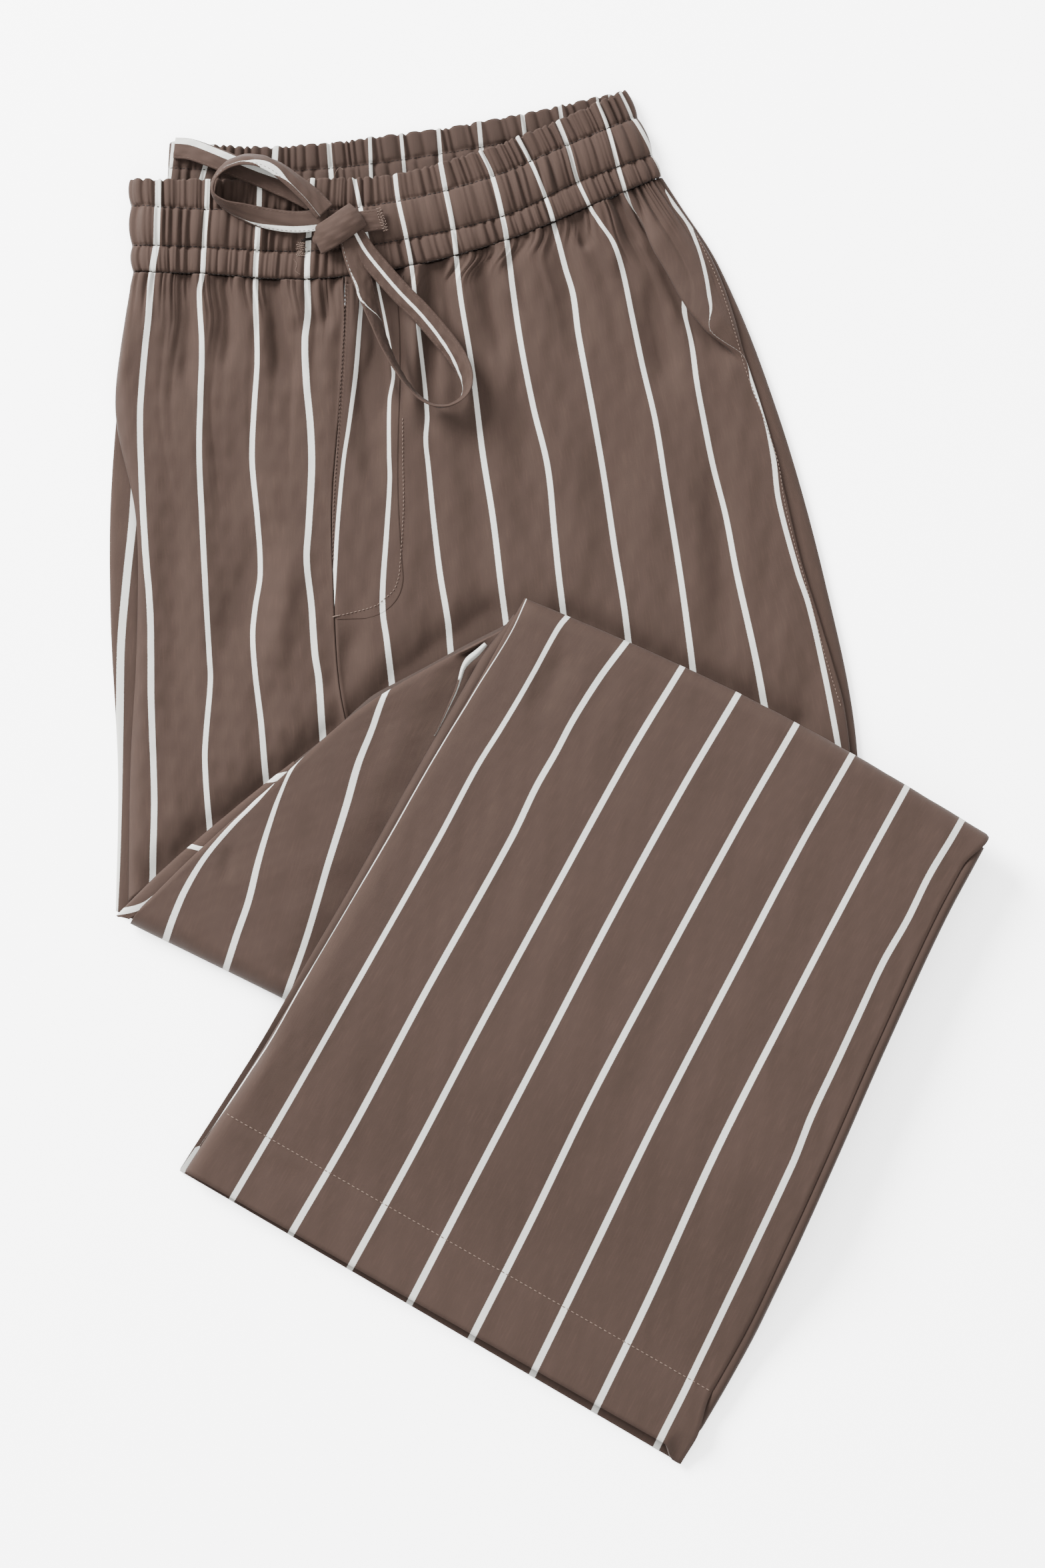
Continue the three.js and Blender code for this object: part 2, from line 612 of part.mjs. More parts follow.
// Lower layer of the uppermost leg: the strip of it that shows along its edges.
// Its path goes down the left edge, along the hem and up the right edge.
const underPath = [
  { at: 0, u: 0, v: 0.03 },
  { at: 0.36, u: 0, v: 1 },
  { at: 0.64, u: 1, v: 1 },
  { at: 1, u: 1, v: 0.02 },
];
const underTurn = [
  { at: 0, inward: 13, rise: 0 },
  { at: 0.4, inward: 4, rise: 0 },
  { at: 0.52, inward: 1.3, rise: 0.12 },
  { at: 0.66, inward: 0, rise: 0.5 },
  { at: 0.8, inward: 0.8, rise: 0.84 },
  { at: 0.9, inward: 2.4, rise: 0.97 },
  { at: 1, inward: 4.9, rise: 1 },
];

function underBase(u, v) {
  // v runs along the path and u across the strip, from inside to its outer edge
  let leg = 0;
  while (leg < 2 && v > underPath[leg + 1].at) leg += 1;
  const start = underPath[leg];
  const end = underPath[leg + 1];
  const t = clamp((v - start.at) / (end.at - start.at));
  const at = { u: mix(start.u, end.u, t), v: mix(start.v, end.v, t) };
  const onRight = leg === 2 ? smooth(t / 0.05) : 0;
  const hemShow = mix(underShow.hemNear, underShow.hemFar, at.u);
  const sideShow = mix(underShow.top, underShow.side, smooth(at.v / 0.5));
  const leftShow = sideShow * (1 - at.u) * smooth((at.v - 0.02) / 0.1);
  const flatIn = mix(underStrip, 0, u);
  const turnedIn = read(underTurn, "inward", u);
  const inward = mix(flatIn, turnedIn, onRight);
  // the strip is mitred at the two corners of the hem
  const nearHem = smooth((at.v - 0.955) / 0.045);
  const sideways = (at.u < 0.5 ? 1 : -1) * (inward - (at.u < 0.5 ? leftShow : 0));
  const hemward = leg === 1 ? inward - hemShow : (inward - hemShow) * nearHem;
  const crosswise = leg === 1 ? sideways * (1 - smooth(Math.min(t, 1 - t) / 0.07)) : sideways;
  const { x, y } = flapMoved(at.u, at.v, crosswise, hemward);
  const low = flapUnder(x, y) - cloth;
  const high = flapTop(x, y) - 0.1;
  const rise = read(underTurn, "rise", u) * onRight;
  return new THREE.Vector3(x, y, mix(low, high, rise));
}

function makeFlapUnder() {
  const down = [...steps(14).map((t) => 0.36 * t), 0.38, 0.41, 0.5, 0.59, 0.62,
    ...steps(14).map((t) => 0.64 + 0.36 * t)];
  return clothWall({
    across: underTurn.map((row) => row.at),
    down,
    base: underBase,
  });
}

// Flat strip of the drawstring along its route
function makeTie(route) {
  const centre = new THREE.CatmullRomCurve3(route.map((row) => new THREE.Vector3(row.x, row.y, row.z)));
  const leans = route.map((row, i) => ({ at: i / (route.length - 1), lean: row.lean }));
  const count = (route.length - 1) * 4;
  const sides = [];
  const others = [];
  for (const t of steps(count)) {
    const point = centre.getPoint(t);
    const tangent = centre.getTangent(t);
    const flat = new THREE.Vector3(tangent.y, -tangent.x, 0).normalize();
    const wide = flat.applyAxisAngle(tangent, radians(read(leans, "lean", t)));
    const normal = wide.clone().cross(tangent).normalize();
    const row = (sign) => [-0.5, 0.5].map((share) => point.clone()
      .addScaledVector(wide, share * tieWidth)
      .addScaledVector(normal, sign * tieCloth / 2));
    sides.push(row(1));
    others.push(row(-1));
  }
  return solidBetween(sides.map((row) => row.reverse()), others.map((row) => row.reverse()));
}

function makeKnot() {
  const geometry = mergeVertices(stripped(new THREE.SphereGeometry(1, 14, 9)));
  geometry.scale(knot.long, knot.wide, knot.high);
  geometry.rotateZ(radians(knot.turn));
  geometry.translate(knot.x, knot.y, knot.z);
  return geometry;
}

// Hidden layers: blocks with an edge of rounded layers, joined into one solid
function stripped(geometry) {
  geometry.deleteAttribute("normal");
  geometry.deleteAttribute("uv");
  return geometry;
}

function insetOutline(outline, distance) {
  const count = outline.length;
  return outline.map((corner, i) => {
    const before = outline[(i + count - 1) % count];
    const after = outline[(i + 1) % count];
    const first = new THREE.Vector2(corner.x - before.x, corner.y - before.y).normalize();
    const second = new THREE.Vector2(after.x - corner.x, after.y - corner.y).normalize();
    const inwards = new THREE.Vector2(-first.y - second.y, first.x + second.x).normalize();
    const spread = Math.max(0.4, inwards.dot(new THREE.Vector2(-first.y, first.x)));
    return { x: corner.x + inwards.x * distance / spread, y: corner.y + inwards.y * distance / spread };
  });
}

// Section of one layer's edge: how deep it lies at a share of the layer's height
const roundedLayer = [
  { share: 0, depth: 1.4 },
  { share: 0.22, depth: 0.25 },
  { share: 0.5, depth: 0 },
  { share: 0.78, depth: 0.25 },
];

// Outline runs anticlockwise; topAt gives a flat or evenly sloping top
function layeredBlock({ outline, bottom, topAt, layers }) {
  const rings = [];
  for (let layer = 0; layer < layers; layer += 1) {
    for (const step of roundedLayer) {
      rings.push({ share: (layer + step.share) / layers, depth: step.depth });
    }
  }
  rings.push({ share: 1, depth: roundedLayer[0].depth });
  return blockOfRings(outline, rings, bottom, topAt);
}

function blockOfRings(outline, rings, bottom, topAt) {
  const points = [];
  for (const ring of rings) {
    for (const place of insetOutline(outline, ring.depth)) {
      points.push(place.x, place.y, mix(bottom, topAt(place.x, place.y), ring.share));
    }
  }
  const count = outline.length;
  const faces = [];
  for (let r = 0; r < rings.length - 1; r += 1) {
    for (let i = 0; i < count; i += 1) {
      const next = (i + 1) % count;
      faces.push(r * count + i, r * count + next, (r + 1) * count + next);
      faces.push(r * count + i, (r + 1) * count + next, (r + 1) * count + i);
    }
  }
  const contour = outline.map((place) => new THREE.Vector2(place.x, place.y));
  const last = (rings.length - 1) * count;
  for (const [a, b, c] of THREE.ShapeUtils.triangulateShape(contour, [])) {
    faces.push(c, b, a);
    faces.push(last + a, last + b, last + c);
  }
  const geometry = new THREE.BufferGeometry();
  geometry.setAttribute("position", new THREE.Float32BufferAttribute(points, 3));
  geometry.setIndex(faces);
  return geometry;
}

// Point of the uppermost leg's plan, set in from its side and its end
function flapPoint(u, v, fromSide, fromEnd) {
  return flapMoved(u, v, u < 0.5 ? fromSide : -fromSide, v < 0.5 ? -fromEnd : fromEnd);
}

// Plan of a block under the uppermost leg, between two shares of its length
function flapBlockOutline({ from, to, fromLeft, fromRight, fromTop = 0, fromHem = 0 }) {
  const left = steps(4).map((t) => mix(from, to, t)).map((v) => flapPoint(0, v, fromLeft, 0));
  const right = steps(4).map((t) => mix(to, from, t)).map((v) => flapPoint(1, v, fromRight, 0));
  left[0] = flapPoint(0, from, fromLeft, fromTop);
  left[4] = flapPoint(0, to, fromLeft, fromHem);
  right[0] = flapPoint(1, to, fromRight, fromHem);
  right[4] = flapPoint(1, from, fromRight, fromTop);
  const top = [0.7, 0.5, 0.3].map((u) => flapPoint(u, from, 0, fromTop));
  return fromTop > 0 ? [...left, ...right, ...top] : [...left, ...right];
}

// Plan of the layers between the front and back panels, anticlockwise from the waist
const bodyOutline = [
  { x: -212, y: 262 }, { x: -218, y: 215 }, { x: -213, y: 150 }, { x: -212, y: 80 },
  { x: -214, y: 10 },
  { x: -214, y: -66 }, { x: -180, y: -91 }, { x: -60, y: -148 }, { x: 108, y: -228 }, { x: 160, y: -148 },
  { x: 157, y: 12 }, { x: 140, y: 98 }, { x: 115, y: 188 }, { x: 90, y: 248 }, { x: 73, y: 278 },
  { x: 50, y: 296 }, { x: 0, y: 284 }, { x: -60, y: 264 }, { x: -110, y: 258 },
];

const wasm = await Module();
wasm.setup();

function toSolid(geometry) {
  const mesh = new wasm.Mesh({
    numProp: 3,
    vertProperties: new Float32Array(geometry.attributes.position.array),
    triVerts: new Uint32Array(geometry.index.array),
  });
  return new wasm.Manifold(mesh);
}

function fromSolid(solid) {
  const mesh = solid.getMesh();
  const geometry = new THREE.BufferGeometry();
  geometry.setAttribute("position", new THREE.Float32BufferAttribute(mesh.vertProperties, 3));
  geometry.setIndex(Array.from(mesh.triVerts));
  return geometry;
}

// Upright block that clears the space of a panel, a little larger than the panel's plan
function clearance(outline, bottom, top) {
  const grown = insetOutline(outline, -0.5);
  return blockOfRings(grown, [{ share: 0, depth: 0 }, { share: 1, depth: 0 }], bottom, () => top);
}

// Plan of a panel, down its side and back up its centre seam
function outlineOf(place, table, rows) {
  return [...rows.map((v) => place(table, 0, v)), ...rows.map((v) => place(table, 1, 1 - v))];
}

function makeHiddenLayers() {
  const body = toSolid(layeredBlock({
    outline: bodyOutline,
    bottom: backLevel + seamGap,
    topAt: () => 5.4,
    layers: 1,
  }));
  const middleOutline = [
    ...[0.16, 0.4, 0.7, 1].map((u) => middleInset(u, 0, 12)),
    ...[1, 0.7, 0.4, 0.25].map((u) => middleInset(u, 32, 0)),
  ];
  const legs = toSolid(layeredBlock({
    outline: middleOutline,
    bottom: 1.8,
    topAt: () => middleLevel - cloth - 0.8,
    layers: 2,
  }));
  const lower = toSolid(layeredBlock({
    outline: flapBlockOutline({ from: 0.02, to: 0.6, fromLeft: 18, fromRight: 6, fromTop: 3 }),
    bottom: 0,
    topAt: () => underLevel - cloth - 0.6,
    layers: 4,
  }));
  const upper = toSolid(layeredBlock({
    outline: flapBlockOutline({ from: 0.03, to: 0.56, fromLeft: 17, fromRight: 17, fromTop: 6 }),
    bottom: 12,
    topAt: () => flapLevel - cloth - 0.8,
    layers: 2,
  }));
  const slope = (x, y) => mix(19.2, 5.2, (pastLowerFold(x, y) + 45) / 135);
  const hem = toSolid(layeredBlock({
    outline: flapBlockOutline({ from: 0.54, to: 1, fromLeft: 18, fromRight: 18, fromHem: 19 }),
    bottom: 0,
    topAt: slope,
    layers: 2,
  }));
  const down = steps(14);
  const rightPlan = outlineOf(panelPlace, rightFront, down);
  const leftPlan = [
    ...down.map((v) => leftFrontPlace(0, v)),
    ...down.map((v) => leftFrontPlace(1, 1 - v)),
  ];
  const turnPlan = [
    ...down.map((v) => fromLeftSide(8.6, v)),
    ...down.map((v) => fromLeftSide(0, 1 - v)),
  ];
  const fronts = toSolid(clearance(rightPlan, -1, 9.2))
    .add(toSolid(clearance(leftPlan, -1, 9.2)))
    .add(toSolid(clearance(turnPlan, -1, 8.6)));
  const rightBackPlan = outlineOf(panelPlace, rightBack, down);
  const leftBackPlan = outlineOf(panelPlace, leftBack, down).reverse();
  const backs = toSolid(clearance(rightBackPlan, -1, backLevel + seamGap))
    .add(toSolid(clearance(leftBackPlan, -1, backLevel + seamGap)));
  const above = legs.add(lower).add(upper).add(hem).subtract(fronts);
  return fromSolid(above.add(body).subtract(backs));
}

const trousers = new THREE.Group();

// Middle of the whole plan, brought to the origin
const planMiddle = { x: -1.635, y: 1.385 };

function add(name, geometry, colour = brown) {
  geometry.translate(-planMiddle.x, -planMiddle.y, 0);
  const material = new THREE.MeshStandardMaterial({ color: colour, roughness: 0.75, metalness: 0 });
  const mesh = new THREE.Mesh(geometry, material);
  mesh.name = name;
  trousers.add(mesh);
}

add("waistband_front", makeFrontBand());
add("waistband_back", makeBackBand(), inside);
add("right_front", makeRightFront());
add("left_front", makeLeftFront());
add("fly", makeFly());
add("right_back", makeRightBack());
add("left_back", makeLeftBack());
add("right_back_lower", makeMiddle());
add("right_front_turned", makeSliver());
add("left_front_lower", makeFlapFront());
add("left_back_lower", makeFlapUnder(), inside);
add("hidden_layers", makeHiddenLayers(), inside);
for (const [name, route] of Object.entries(tieRoutes)) add(name, makeTie(route));
add("tie_knot", makeKnot());

export default trousers;
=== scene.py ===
# Pyjama trousers in striped woven cloth, folded in three and lying flat.
# The frame is in metres, +Z up, +Y towards the waist; left and right are the wearer's.
# Sizes below are in millimetres on the photo's plan, and toFrame brings them into the frame.
import bpy
import numpy as np
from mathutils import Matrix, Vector


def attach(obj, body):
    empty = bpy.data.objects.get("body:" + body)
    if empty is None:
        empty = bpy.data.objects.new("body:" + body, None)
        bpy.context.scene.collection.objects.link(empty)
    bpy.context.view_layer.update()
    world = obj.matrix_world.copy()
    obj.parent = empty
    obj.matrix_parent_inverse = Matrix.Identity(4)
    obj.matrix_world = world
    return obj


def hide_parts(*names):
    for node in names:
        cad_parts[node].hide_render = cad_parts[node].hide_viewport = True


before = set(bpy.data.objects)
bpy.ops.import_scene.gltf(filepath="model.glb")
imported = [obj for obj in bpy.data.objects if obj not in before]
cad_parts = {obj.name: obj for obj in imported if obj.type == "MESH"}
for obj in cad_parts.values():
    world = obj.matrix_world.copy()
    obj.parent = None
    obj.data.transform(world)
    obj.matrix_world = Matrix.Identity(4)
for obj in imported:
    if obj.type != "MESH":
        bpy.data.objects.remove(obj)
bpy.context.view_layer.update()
print("frame loaded:", len(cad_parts), "nodes")

photo = {
    "scale": 0.36,        # millimetres in one pixel, at the level below
    "level": 12,
    "zeroX": 822,         # pixel of the plan's zero
    "zeroY": 1170,
    "midX": 784,          # middle of the picture
    "midY": 1176,
    "height": 2352,
    "lens": 85,
    "sensor": 36,
}
planMiddle = {"x": -1.635, "y": 1.385}

cameraX = (photo["midX"] - photo["zeroX"]) * photo["scale"]
cameraY = (photo["zeroY"] - photo["midY"]) * photo["scale"]
cameraDistance = photo["height"] * photo["scale"] * photo["lens"] / photo["sensor"]


def toFrame(points):
    moved = np.array(points, float)
    moved[..., 0] -= planMiddle["x"]
    moved[..., 1] -= planMiddle["y"]
    return moved * 0.001


def pixelOf(x, y, z):
    # pixel where the camera sees a point: its offset from the camera's axis, larger when nearer
    near = cameraDistance / (cameraDistance + photo["level"] - z)
    px = photo["midX"] + (x - cameraX) * near / photo["scale"]
    py = photo["midY"] - (y - cameraY) * near / photo["scale"]
    return px, py


def spot(px, py, z=12):
    # point of the plan that the camera sees at a pixel, at a height
    near = cameraDistance / (cameraDistance + photo["level"] - z)
    x = cameraX + (np.asarray(px, float) - photo["midX"]) * photo["scale"] / near
    y = cameraY - (np.asarray(py, float) - photo["midY"]) * photo["scale"] / near
    return x, y


# Camera straight above, as in the photo
camera = bpy.data.objects.new("camera", bpy.data.cameras.new("camera"))
bpy.context.scene.collection.objects.link(camera)
camera.data.lens = photo["lens"]
camera.data.sensor_width = photo["sensor"]
camera.location = toFrame([cameraX, cameraY, cameraDistance + photo["level"]])
camera.data.clip_end = 20
bpy.context.scene.camera = camera


# Shared arithmetic
def mix(a, b, t):
    return a + (b - a) * t


def clamp(t):
    return np.clip(t, 0, 1)


def smooth(t):
    return clamp(t) ** 2 * (3 - 2 * clamp(t))


def shoulder(distance, reach):
    # rounded edge: 0 at the edge, 1 once reach inside it, along a quarter circle
    return np.sqrt(1 - (1 - clamp(distance / reach)) ** 2)


def cubic(t, span, low, high, slopeLow, slopeHigh):
    # cubic piece from one value to the next with given slopes, t from 0 to 1 along its span
    start = (2 * t ** 3 - 3 * t ** 2 + 1) * low + (t ** 3 - 2 * t ** 2 + t) * span * slopeLow
    end = (3 * t ** 2 - 2 * t ** 3) * high + (t ** 3 - t ** 2) * span * slopeHigh
    return start + end


def read(table, column, at):
    # smooth curve through a table: cubic pieces whose slopes come from the rows on either side
    at = np.asarray(at, float)
    place = np.array(table["at"], float)
    value = np.array(table[column], float)
    last = len(place) - 1
    low = np.maximum(np.arange(last + 1) - 1, 0)
    high = np.minimum(np.arange(last + 1) + 1, last)
    slope = (value[high] - value[low]) / (place[high] - place[low])
    i = np.clip(np.searchsorted(place, at, side="left") - 1, 0, last - 1)
    span = place[i + 1] - place[i]
    t = clamp((at - place[i]) / span)
    return cubic(t, span, value[i], value[i + 1], slope[i], slope[i + 1])


def grid(across, down):
    # arrays u and v over a grid, u along a row and v down the rows
    u, v = np.meshgrid(np.asarray(across, float), np.asarray(down, float))
    return u, v


def normalsOf(points):
    # unit normals of a grid: the direction down the rows crossed with the direction along them
    alongU = np.gradient(points, axis=1)
    alongV = np.gradient(points, axis=0)
    normal = np.cross(alongV, alongU)
    return normal / np.maximum(np.linalg.norm(normal, axis=2, keepdims=True), 1e-9)


def wander(x, y, size, seed):
    # soft uneven field from -1 to 1: eight sine waves of like length in seeded directions
    rng = np.random.default_rng(seed)
    total = np.zeros(np.broadcast(x, y).shape)
    for _ in range(8):
        turn = rng.uniform(0, 2 * np.pi)
        wave = 2 * np.pi / (size * rng.uniform(0.7, 1.6))
        total += np.sin((x * np.cos(turn) + y * np.sin(turn)) * wave + rng.uniform(0, 2 * np.pi))
    return total / 4


def gathers(u, count, seed, soft=0.22):
    # soft ridges with creases between them, uneven in width, height and depth
    # a ridge is half a sine wave, and a crease is a narrow bell cut down at each of its two ends
    rng = np.random.default_rng(seed)
    edges = np.concatenate([[0], np.cumsum(rng.uniform(0.35, 1.65, count))])
    edges = edges / edges[-1]
    heights = rng.uniform(0.3, 1, count)
    depths = rng.uniform(0.15, 1, count + 1)
    widths = rng.uniform(0.7, 1.3, count + 1) * soft / count
    u = clamp(u)
    i = np.clip(np.searchsorted(edges, u, side="right") - 1, 0, count - 1)
    share = clamp((u - edges[i]) / (edges[i + 1] - edges[i]))
    ridge = heights[i] * np.sin(np.pi * share)
    before = depths[i] * np.exp(-(((u - edges[i]) / widths[i]) ** 2))
    after = depths[i + 1] * np.exp(-(((edges[i + 1] - u) / widths[i + 1]) ** 2))
    return 0.55 * ridge - before - after


def curveThrough(points, count):
    # smooth curve through points: uniform Catmull-Rom, sampled evenly in its parameter
    points = np.array(points, float)
    padded = np.vstack([2 * points[0] - points[1], points, 2 * points[-1] - points[-2]])
    t = np.linspace(0, len(points) - 1, count)
    i = np.minimum(t.astype(int), len(points) - 2)
    f = (t - i)[:, None]
    a, b, c, d = padded[i], padded[i + 1], padded[i + 2], padded[i + 3]
    return 0.5 * (2 * b + (c - a) * f + (2 * a - 5 * b + 4 * c - d) * f ** 2
                  + (3 * b - a - 3 * c + d) * f ** 3)


def alongLine(line, x, y):
    # for each point: signed distance from a smooth line and the share of its length at the nearest place
    dense = curveThrough(line, 24)
    flatX = np.ravel(x)
    flatY = np.ravel(y)
    best = np.full(flatX.shape, 1e9)
    signed = np.zeros(flatX.shape)
    share = np.zeros(flatX.shape)
    step = np.diff(dense, axis=0)
    lengths = np.linalg.norm(step, axis=1)
    starts = np.concatenate([[0], np.cumsum(lengths)])
    for i in range(len(step)):
        toX = flatX - dense[i, 0]
        toY = flatY - dense[i, 1]
        t = clamp((toX * step[i, 0] + toY * step[i, 1]) / lengths[i] ** 2)
        offX = toX - t * step[i, 0]
        offY = toY - t * step[i, 1]
        distance = np.hypot(offX, offY)
        nearer = distance < best
        side = np.sign(step[i, 0] * toY - step[i, 1] * toX)
        best = np.where(nearer, distance, best)
        signed = np.where(nearer, side * distance, signed)
        share = np.where(nearer, (starts[i] + t * lengths[i]) / starts[-1], share)
    return signed.reshape(np.shape(x)), share.reshape(np.shape(x))


def folds(x, y, rows):
    # height of a set of soft folds: each is a bell across its line, fading at its two ends
    # left and right give its width on the two sides of the line, as it runs from its first point
    total = np.zeros(np.shape(x))
    for row in rows:
        distance, share = alongLine(row["line"], x, y)
        width = np.where(distance > 0, row["left"], row["right"])
        fade = row.get("fade", 0.35)
        ends = smooth(share / fade) if row.get("from", True) else 1
        ends = ends * smooth((1 - share) / fade)
        total += row["rise"] * np.exp(-((distance / width) ** 2)) * ends
    return total


# Stripes, charted as lines on the photo: each column is a pixel
frontStripes = {
    "s0": {"x": [120, 120], "y": [200, 1400]},
    "s1": {"x": [239, 238, 236, 230, 223, 218, 211, 210, 212, 218, 225, 227, 232, 228],
           "y": [265, 305, 366, 404, 480, 520, 600, 640, 700, 820, 920, 1040, 1200, 1315]},
    "s2": {"x": [312, 310, 306, 304, 299, 303, 301, 299, 303, 308, 314, 316, 309, 307, 313],
           "y": [268, 312, 370, 409, 440, 520, 600, 680, 780, 880, 980, 1020, 1100, 1140, 1240]},
    "s3": {"x": [390, 388, 384, 383, 386, 382, 378, 378, 386, 390, 382, 378, 382, 392, 398],
           "y": [268, 340, 400, 440, 540, 600, 660, 700, 780, 860, 910, 950, 1010, 1090, 1165]},
    "s4": {"x": [470, 462, 460, 461, 456, 458, 465, 467, 462, 459, 467, 472, 478, 483],
           "y": [267, 372, 417, 470, 510, 570, 640, 700, 790, 840, 910, 980, 1020, 1105]},
    "s5": {"x": [541, 543, 541, 534, 523, 515, 508, 505, 501, 499],
           "y": [400, 450, 480, 560, 640, 690, 760, 800, 870, 900]},
    "s6": {"x": [532, 543, 556, 590, 584, 584, 585, 580, 574, 574, 580, 588],
           "y": [270, 320, 380, 555, 600, 680, 720, 800, 880, 920, 960, 1028]},
    "s7": {"x": [592, 597, 608, 617, 628, 640, 638, 642, 650, 660, 672, 675],
           "y": [258, 300, 350, 397, 500, 620, 660, 700, 780, 860, 930, 965]},
    "s8": {"x": [660, 668, 680, 690, 705, 712, 724, 740, 752, 757],
           "y": [240, 283, 345, 440, 530, 580, 680, 780, 880, 918]},
    "s9": {"x": [720, 738, 757, 763, 770, 782, 800, 822, 832, 838, 845],
           "y": [225, 262, 340, 380, 440, 520, 610, 700, 800, 860, 917]},
    "s10": {"x": [776, 797, 822, 835, 848, 860, 868, 888, 907, 922, 935, 943],
            "y": [206, 245, 305, 350, 400, 440, 500, 610, 720, 820, 900, 960]},
    "s11": {"x": [836, 852, 866, 885, 900, 920, 934, 948, 964, 984, 1000, 1020, 1040],
            "y": [180, 220, 270, 310, 334, 363, 403, 471, 547, 632, 732, 857, 1005]},
    "s12": {"x": [897, 912, 925, 938, 950, 980, 1000, 1012, 1024, 1037, 1045, 1055, 1069, 1089, 1105, 1130,
                  1148],
            "y": [152, 190, 240, 286, 312, 350, 387, 419, 455, 507, 571, 628, 696, 772, 857, 970, 1060]},
    "s13": {"x": [960, 994, 1012, 1033, 1049, 1059, 1065, 1077, 1097, 1117, 1133, 1149, 1161, 1169, 1197,
                  1215, 1240, 1258],
            "y": [200, 266, 306, 334, 375, 419, 455, 487, 511, 535, 584, 624, 684, 752, 857, 910, 1020,
                  1118]},
    "s14": {"x": [1010, 1058, 1110, 1150, 1205, 1262, 1330], "y": [180, 266, 380, 480, 640, 840, 1118]},
}
flapStripes = {
    "f0": {"x": [790, 767, 713, 649, 582, 460, 400, 268],
           "y": [898, 948, 1036, 1141, 1259, 1465, 1570, 1765]},
    "f1": {"x": [854, 840, 825, 802, 777, 751, 713, 657, 520, 430, 351],
           "y": [921, 937, 962, 1005, 1049, 1092, 1153, 1258, 1500, 1658, 1793]},
    "f2": {"x": [940, 900, 860, 833, 805, 767, 640, 530, 441],
           "y": [963, 1016, 1079, 1130, 1179, 1258, 1485, 1690, 1843]},
    "f3": {"x": [1022, 945, 840, 720, 620, 530], "y": [1003, 1130, 1320, 1540, 1730, 1893]},
    "f4": {"x": [1105, 1025, 920, 805, 700, 620], "y": [1045, 1180, 1370, 1590, 1790, 1944]},
    "f5": {"x": [1193, 1115, 1005, 890, 795, 712], "y": [1090, 1225, 1425, 1640, 1835, 1998]},
    "f6": {"x": [1278, 1200, 1105, 985, 885, 803], "y": [1133, 1270, 1450, 1680, 1885, 2053]},
    "f7": {"x": [1362, 1290, 1190, 1075, 975, 896], "y": [1178, 1310, 1500, 1725, 1945, 2108]},
    "f8": {"x": [1445, 1430, 1394, 1360, 1325, 1291, 1256, 1218, 1188, 1040, 989],
           "y": [1227, 1253, 1313, 1382, 1443, 1516, 1592, 1673, 1749, 2060, 2162]},
    "f9": {"x": [1530, 1475, 1400, 1290, 1180, 1085], "y": [1275, 1380, 1530, 1760, 1990, 2210]},
}
middleStripes = {
    "m0": {"x": [150, 170, 195, 225, 262, 300], "y": [1372, 1330, 1290, 1240, 1195, 1150]},
    "m1": {"x": [247, 261, 279, 308, 349, 385, 403], "y": [1415, 1374, 1333, 1286, 1239, 1204, 1184]},
    "m2": {"x": [338, 355, 373, 387, 402, 420, 437, 461],
           "y": [1456, 1403, 1351, 1292, 1239, 1186, 1151, 1125]},
    "m3": {"x": [434, 461, 490, 519, 537, 555, 575, 588],
           "y": [1480, 1403, 1304, 1210, 1145, 1098, 1040, 1022]},
    "m4": {"x": [530, 590, 640, 672, 745, 800], "y": [1480, 1300, 1187, 1113, 1000, 900]},
}
stripePitch = 38          # from one stripe to the next in the flat cloth


def chartWithout(chart, name):
    return {key: chart[key] for key in chart if key != name}


def stripePlace(px, py, chart, turn=0):
    # number of stripes across at a pixel, and the length along them in millimetres
    # the pixel is turned until the stripes run down, and its place found between the charted lines
    angle = np.radians(turn)
    along = px * np.sin(angle) + py * np.cos(angle)
    sideways = px * np.cos(angle) - py * np.sin(angle)
    lines = []
    for line in chart.values():
        x = np.array(line["x"], float)
        y = np.array(line["y"], float)
        at = x * np.sin(angle) + y * np.cos(angle)
        off = x * np.cos(angle) - y * np.sin(angle)
        order = np.argsort(at)
        at, off = at[order], off[order]
        held = read({"at": at, "off": off}, "off", along)
        before = np.minimum(along - at[0], 0) * (off[1] - off[0]) / (at[1] - at[0])
        after = np.maximum(along - at[-1], 0) * (off[-1] - off[-2]) / (at[-1] - at[-2])
        lines.append(held + before + after)
    lines = np.sort(np.array(lines), axis=0)
    j = np.clip((sideways > lines).sum(0) - 1, 0, len(lines) - 2)
    low = np.take_along_axis(lines, j[None], 0)[0]
    high = np.take_along_axis(lines, j[None] + 1, 0)[0]
    return j + (sideways - low) / np.maximum(high - low, 4), along * photo["scale"]


def fabricOf(points, chart, turn=0):
    # place in the flat cloth, in millimetres: across the stripes and along them
    px, py = pixelOf(points[..., 0], points[..., 1], points[..., 2])
    across, along = stripePlace(px, py, chart, turn)
    return np.stack([across * stripePitch, along], axis=-1)


# Meshes
def addPiece(name, vertices, faces, material, fabric=None, width=None):
    mesh = bpy.data.meshes.new(name)
    mesh.from_pydata(toFrame(vertices).tolist(), [], [list(face) for face in faces])
    mesh.polygons.foreach_set("use_smooth", np.ones(len(mesh.polygons), bool))
    if fabric is not None:
        corners = np.zeros(len(mesh.loops), np.int32)
        mesh.loops.foreach_get("vertex_index", corners)
        layer = mesh.uv_layers.new(name="cloth")
        layer.data.foreach_set("uv", (fabric[corners] * 0.001).astype(np.float32).ravel())
    if width is not None:
        share = mesh.attributes.new("stripeWidth", "FLOAT", "POINT")
        share.data.foreach_set("value", width.astype(np.float32))
    mesh.materials.append(material)
    mesh.update()
    piece = bpy.data.objects.new(name, mesh)
    bpy.context.scene.collection.objects.link(piece)
    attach(piece, "root")
    return piece


